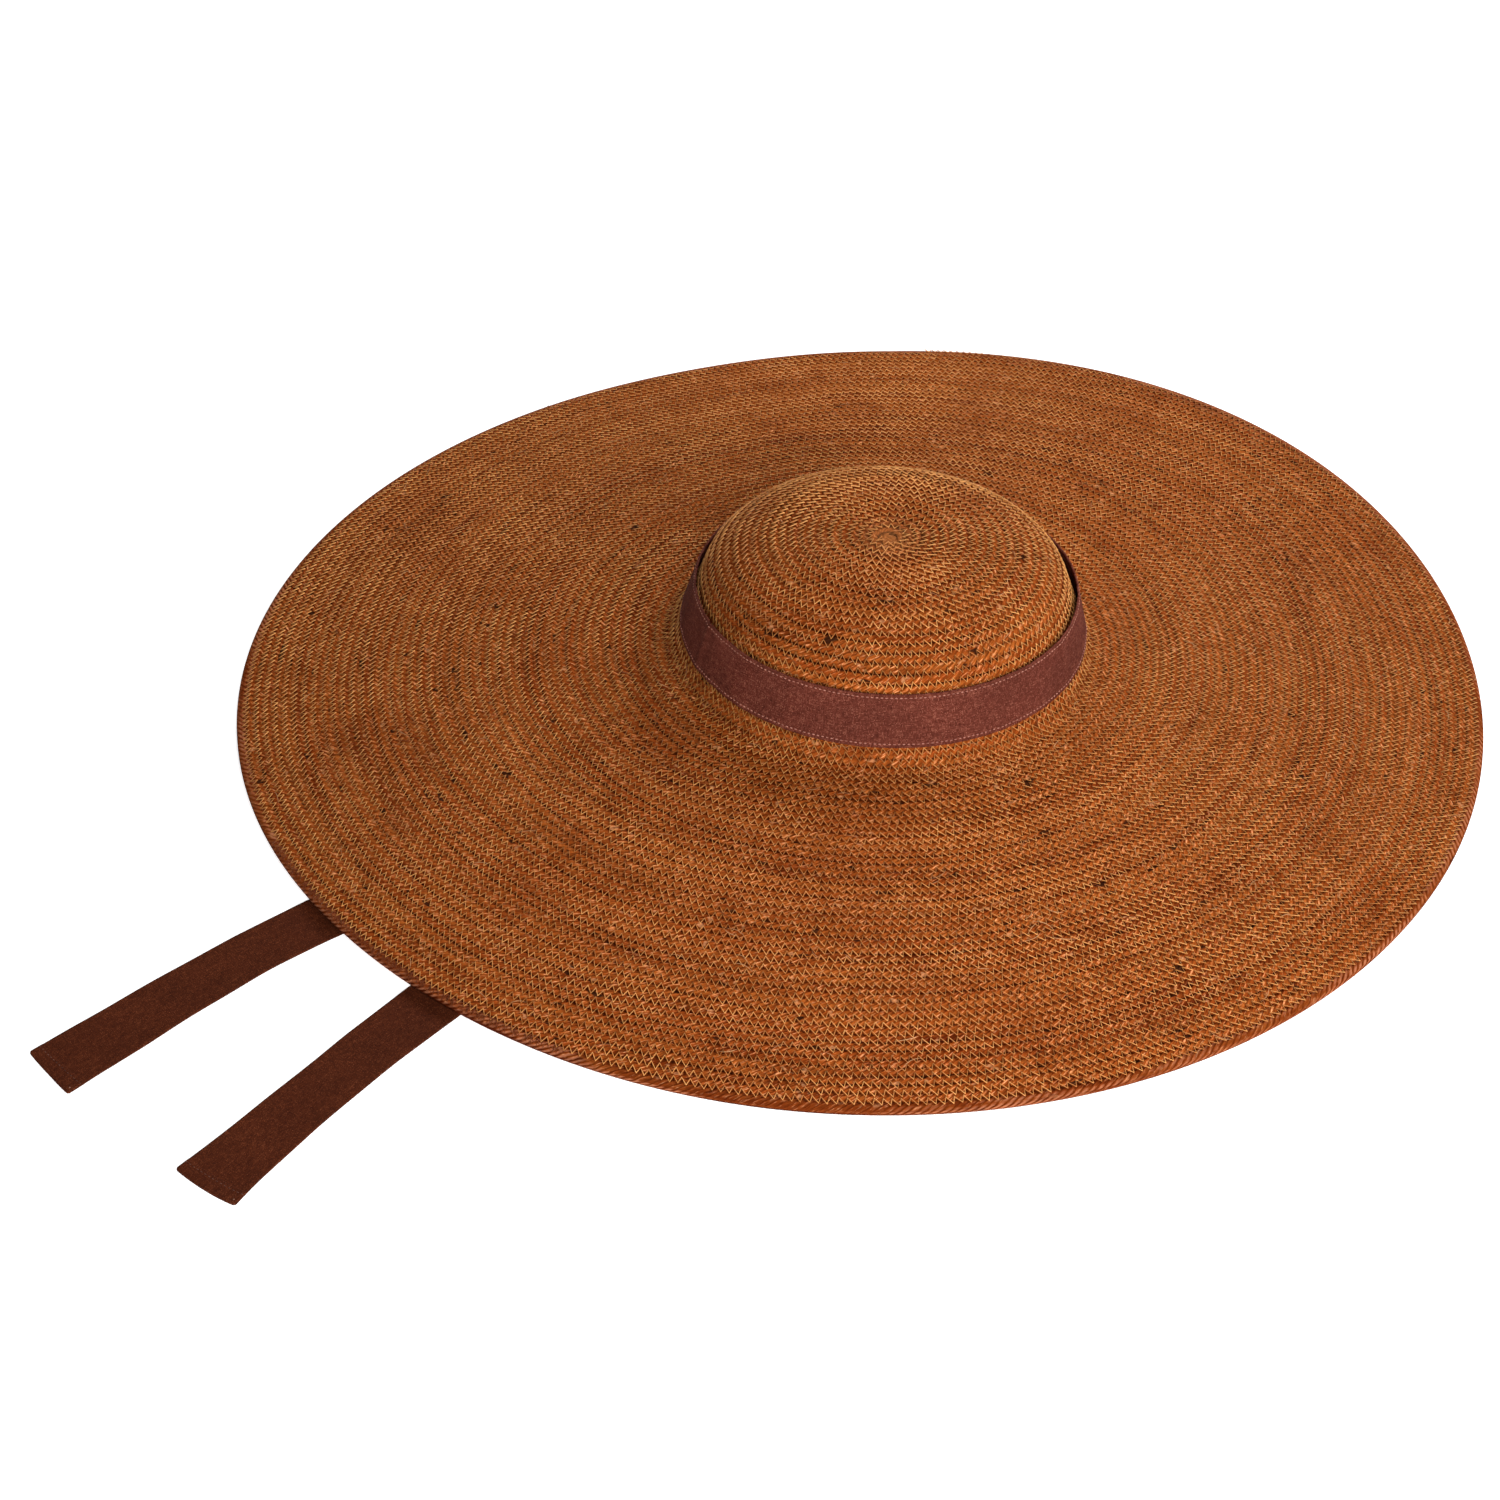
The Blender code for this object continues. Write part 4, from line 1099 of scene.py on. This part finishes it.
def read_at(fine, distance, values):
    """Places or ways that are known at some distances, at other distances."""
    return np.stack([np.interp(fine, distance, column) for column in values.T], -1)


def end_knot(name, place):
    """The little knot where the hem's thread ends, in the near corner: a few lumps of thread together."""
    draw, shape = np.random.default_rng(41), bmesh.new()
    for _ in range(KNOT_LUMPS):
        lump = bmesh.ops.create_uvsphere(shape, u_segments=8, v_segments=6, radius=0.6 * KNOT)["verts"]
        beside = draw.uniform(-0.5, 0.5, 3) * (KNOT, KNOT, 0.3 * KNOT)
        bmesh.ops.translate(shape, vec=np.array(place) + beside, verts=lump)
    mesh = bpy.data.meshes.new(name)
    shape.to_mesh(mesh)
    shape.free()
    return smooth_piece(name, mesh, KNOT_THREAD)


for (title, side, exit_at, exit_way, end_way, shown, end_slope, end_bulge, seed, far_edge,
     near_edge) in TIES:
    path = tie_path(side, exit_at, exit_way, end_way, shown)
    places, across, face, bend = tie_frames(path, TIE_AXIS + side * 90.0)
    distance = distance_along(places)
    rim_at = distance[TAB_STEPS + DROP_STEPS + RUN_STEPS]
    # Finer steps near the two ends and at the hem's edge.
    extra = np.concatenate((EDGE_ROWS[1:], [0.004, 0.006, HEM - 0.0004, HEM, HEM + 0.0005]))
    fine = np.unique(np.concatenate((distance, distance[-1] - extra, extra[:6])))
    places = read_at(fine, distance, places)
    across, face = unit(read_at(fine, distance, across)), unit(read_at(fine, distance, face))
    bend = np.interp(fine, distance, bend)
    before_end = fine[-1] - fine
    rows = rows_across(TIE_WIDTH / 2) / (TIE_WIDTH / 2)
    far_side = 1.0 if across[-1] @ heading(end_way - 90.0) > 0 else -1.0
    far_half, near_half = edge_line(far_edge, fine, rim_at, shown), edge_line(near_edge, fine, rim_at, shown)
    half = np.where((rows * far_side)[None, :] > 0, far_half[:, None], near_half[:, None])
    off = rows[None, :] * half
    edge_away = half - np.abs(off)
    # The corners of the end are rounded, and the end itself bulges and slopes a little.
    to_corner = np.clip(END_ROUND - edge_away[-1], 0.0, None)
    corner_in = END_ROUND - np.sqrt(np.clip(END_ROUND ** 2 - to_corner ** 2, 0.0, None))
    pull = corner_in + end_bulge * rows ** 2 + end_slope * rows * far_side
    share = np.clip(1.0 - before_end / END_SHAPED, 0.0, 1.0)[:, None]
    along = unit(np.gradient(places, axis=0))
    grid = places[:, None, :] + off[..., None] * across[:, None, :]
    grid = grid - (share * pull)[..., None] * along[:, None, :]
    # A soft ripple past the rim, where the edges curl up too.
    out_there = np.clip((fine - rim_at - RIPPLE_FROM) / RIPPLE_OVER, 0.0, 1.0)[:, None]
    outward = np.abs(rows[None, :])
    ripple = waves(fine[:, None] + 0.010 * rows[None, :], seed, (0.051, 0.077, 0.110), (0.3, 0.4, 0.6))
    curl = EDGE_CURL * outward ** 3 * (1.0 + waves(fine[:, None], seed + 5, (0.045,), (0.7,)))
    rise = out_there * (RIPPLE * np.maximum(ripple + 0.5, 0.0) * (0.4 + 0.6 * outward) + curl)
    # The hem is thicker, and its stitches draw the cloth in.
    from_stitches = before_end - HEM + HEM_INSET
    hem = 1.0 + HEM_FOLD * np.clip((HEM - before_end) / HEM_STEP, 0.0, 1.0)[:, None]
    thin = 1.0 - HEM_PULL * np.exp(-(from_stitches / HEM_GROOVE) ** 2)[:, None]
    ends = rounded_edge(np.minimum(fine, before_end))[:, None]
    thickness = RIBBON_THICKNESS * TIE_THIN * rounded_edge(edge_away) * hem * thin * ends
    grid = grid - (bend[:, None] * off ** 2 / 2)[..., None] * face[:, None, :]
    grid = grid + AXIS
    grid[..., 2] += rise
    grid[..., 2] = np.maximum(grid[..., 2], thickness / 2 * np.abs(face[:, None, 2]) + OFF_SURFACE)
    facing = np.broadcast_to(face[:, None, :], grid.shape)
    tie = ribbon(title + "_ribbon", grid, facing, thickness, np.broadcast_to(off, thickness.shape), TIE_LINEN)
    row = int(np.argmin(np.abs(from_stitches)))
    up_side = 1.0 if face[row, 2] > 0 else -1.0
    hem_middle = grid[row, 3:-3] + up_side * face[row] * (thickness[row, 3:-3, None] / 2 + HEM_LIFT)
    hem_face = np.repeat(up_side * face[row][None], len(hem_middle), 0)
    hem_line = line_object("hem_line", {"middle": hem_middle, "face": hem_face})
    hem_stitches = grown(title + "_hem_stitches", hem_line, STITCH_ROW, Spacing=HEM_GAP, Length=HEM_STITCH,
                         Thickness=HEM_THREAD, Material=TIE_THREAD)
    near_side = np.where(rows * far_side < 0, 1.0, 0.0)
    knot_column = int(np.argmin(np.abs(edge_away[-1] - KNOT_INSET) - near_side * rows.size))
    knot_row = int(np.argmin(np.abs(before_end - KNOT_INSET)))
    knot_way = face[knot_row] * up_side
    knot_place = grid[knot_row, knot_column] + knot_way * thickness[knot_row, knot_column] / 2
    knot = end_knot(title + "_end_knot", knot_place)
    for piece in (tie, hem_stitches, knot):
        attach(piece, "root")
    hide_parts(title)


# The floor and the light: a very wide pale floor that glows a little, four soft lamps round the hat and an
# almost dark sky. The lamps' places and strengths were fitted to the straw's brightness in the photograph.
FLOOR_HALF, FLOOR_COLOUR, FLOOR_GLOW, SKY_STRENGTH = 200.0, raw_colour(0.88, 0.88, 0.88), 0.75, 0.05
LAMPS = (("key", -58.0, 22.0, 1.9, 0.45, 20.5), ("front", -84.0, 34.0, 2.2, 0.8, 31.0),
         ("back right", 45.0, 35.0, 2.2, 0.8, 30.0), ("back", 90.0, 35.0, 2.2, 0.8, 16.0))
# name, azimuth, height in degrees, distance, width, watts

floor_corners = [(x * FLOOR_HALF, y * FLOOR_HALF, 0.0) for x, y in ((-1, -1), (1, -1), (1, 1), (-1, 1))]
floor_mesh = bpy.data.meshes.new("floor")
floor_mesh.from_pydata(floor_corners, [], [(0, 1, 2, 3)])
floor = in_scene("floor", floor_mesh)
floor_paint, _, floor_shader = new_material("floor_paint", 0.9, 0.2)
floor_shader.inputs["Base Color"].default_value = FLOOR_COLOUR
floor_shader.inputs["Emission Color"].default_value = FLOOR_COLOUR
floor_shader.inputs["Emission Strength"].default_value = FLOOR_GLOW
floor_mesh.materials.append(floor_paint)
for title, azimuth, height, distance, width, watts in LAMPS:
    lamp = bpy.data.lights.new(title, "AREA")
    lamp.shape, lamp.size, lamp.energy = "DISK", width, watts
    rise = math.radians(height)
    way = Vector(heading(azimuth)) * math.cos(rise) + Vector((0, 0, math.sin(rise)))
    lit = in_scene(title, lamp)
    lit.matrix_world = Matrix.Translation(way * distance) @ way.to_track_quat("Z", "Y").to_matrix().to_4x4()
sky = bpy.data.worlds.new("sky")
sky.use_nodes = True
sky.node_tree.nodes["Background"].inputs["Strength"].default_value = SKY_STRENGTH
sky.node_tree.nodes["Background"].inputs["Color"].default_value = (1.0, 1.0, 1.0, 1.0)
bpy.context.scene.world = sky
bpy.context.scene.view_settings.view_transform = "Standard"
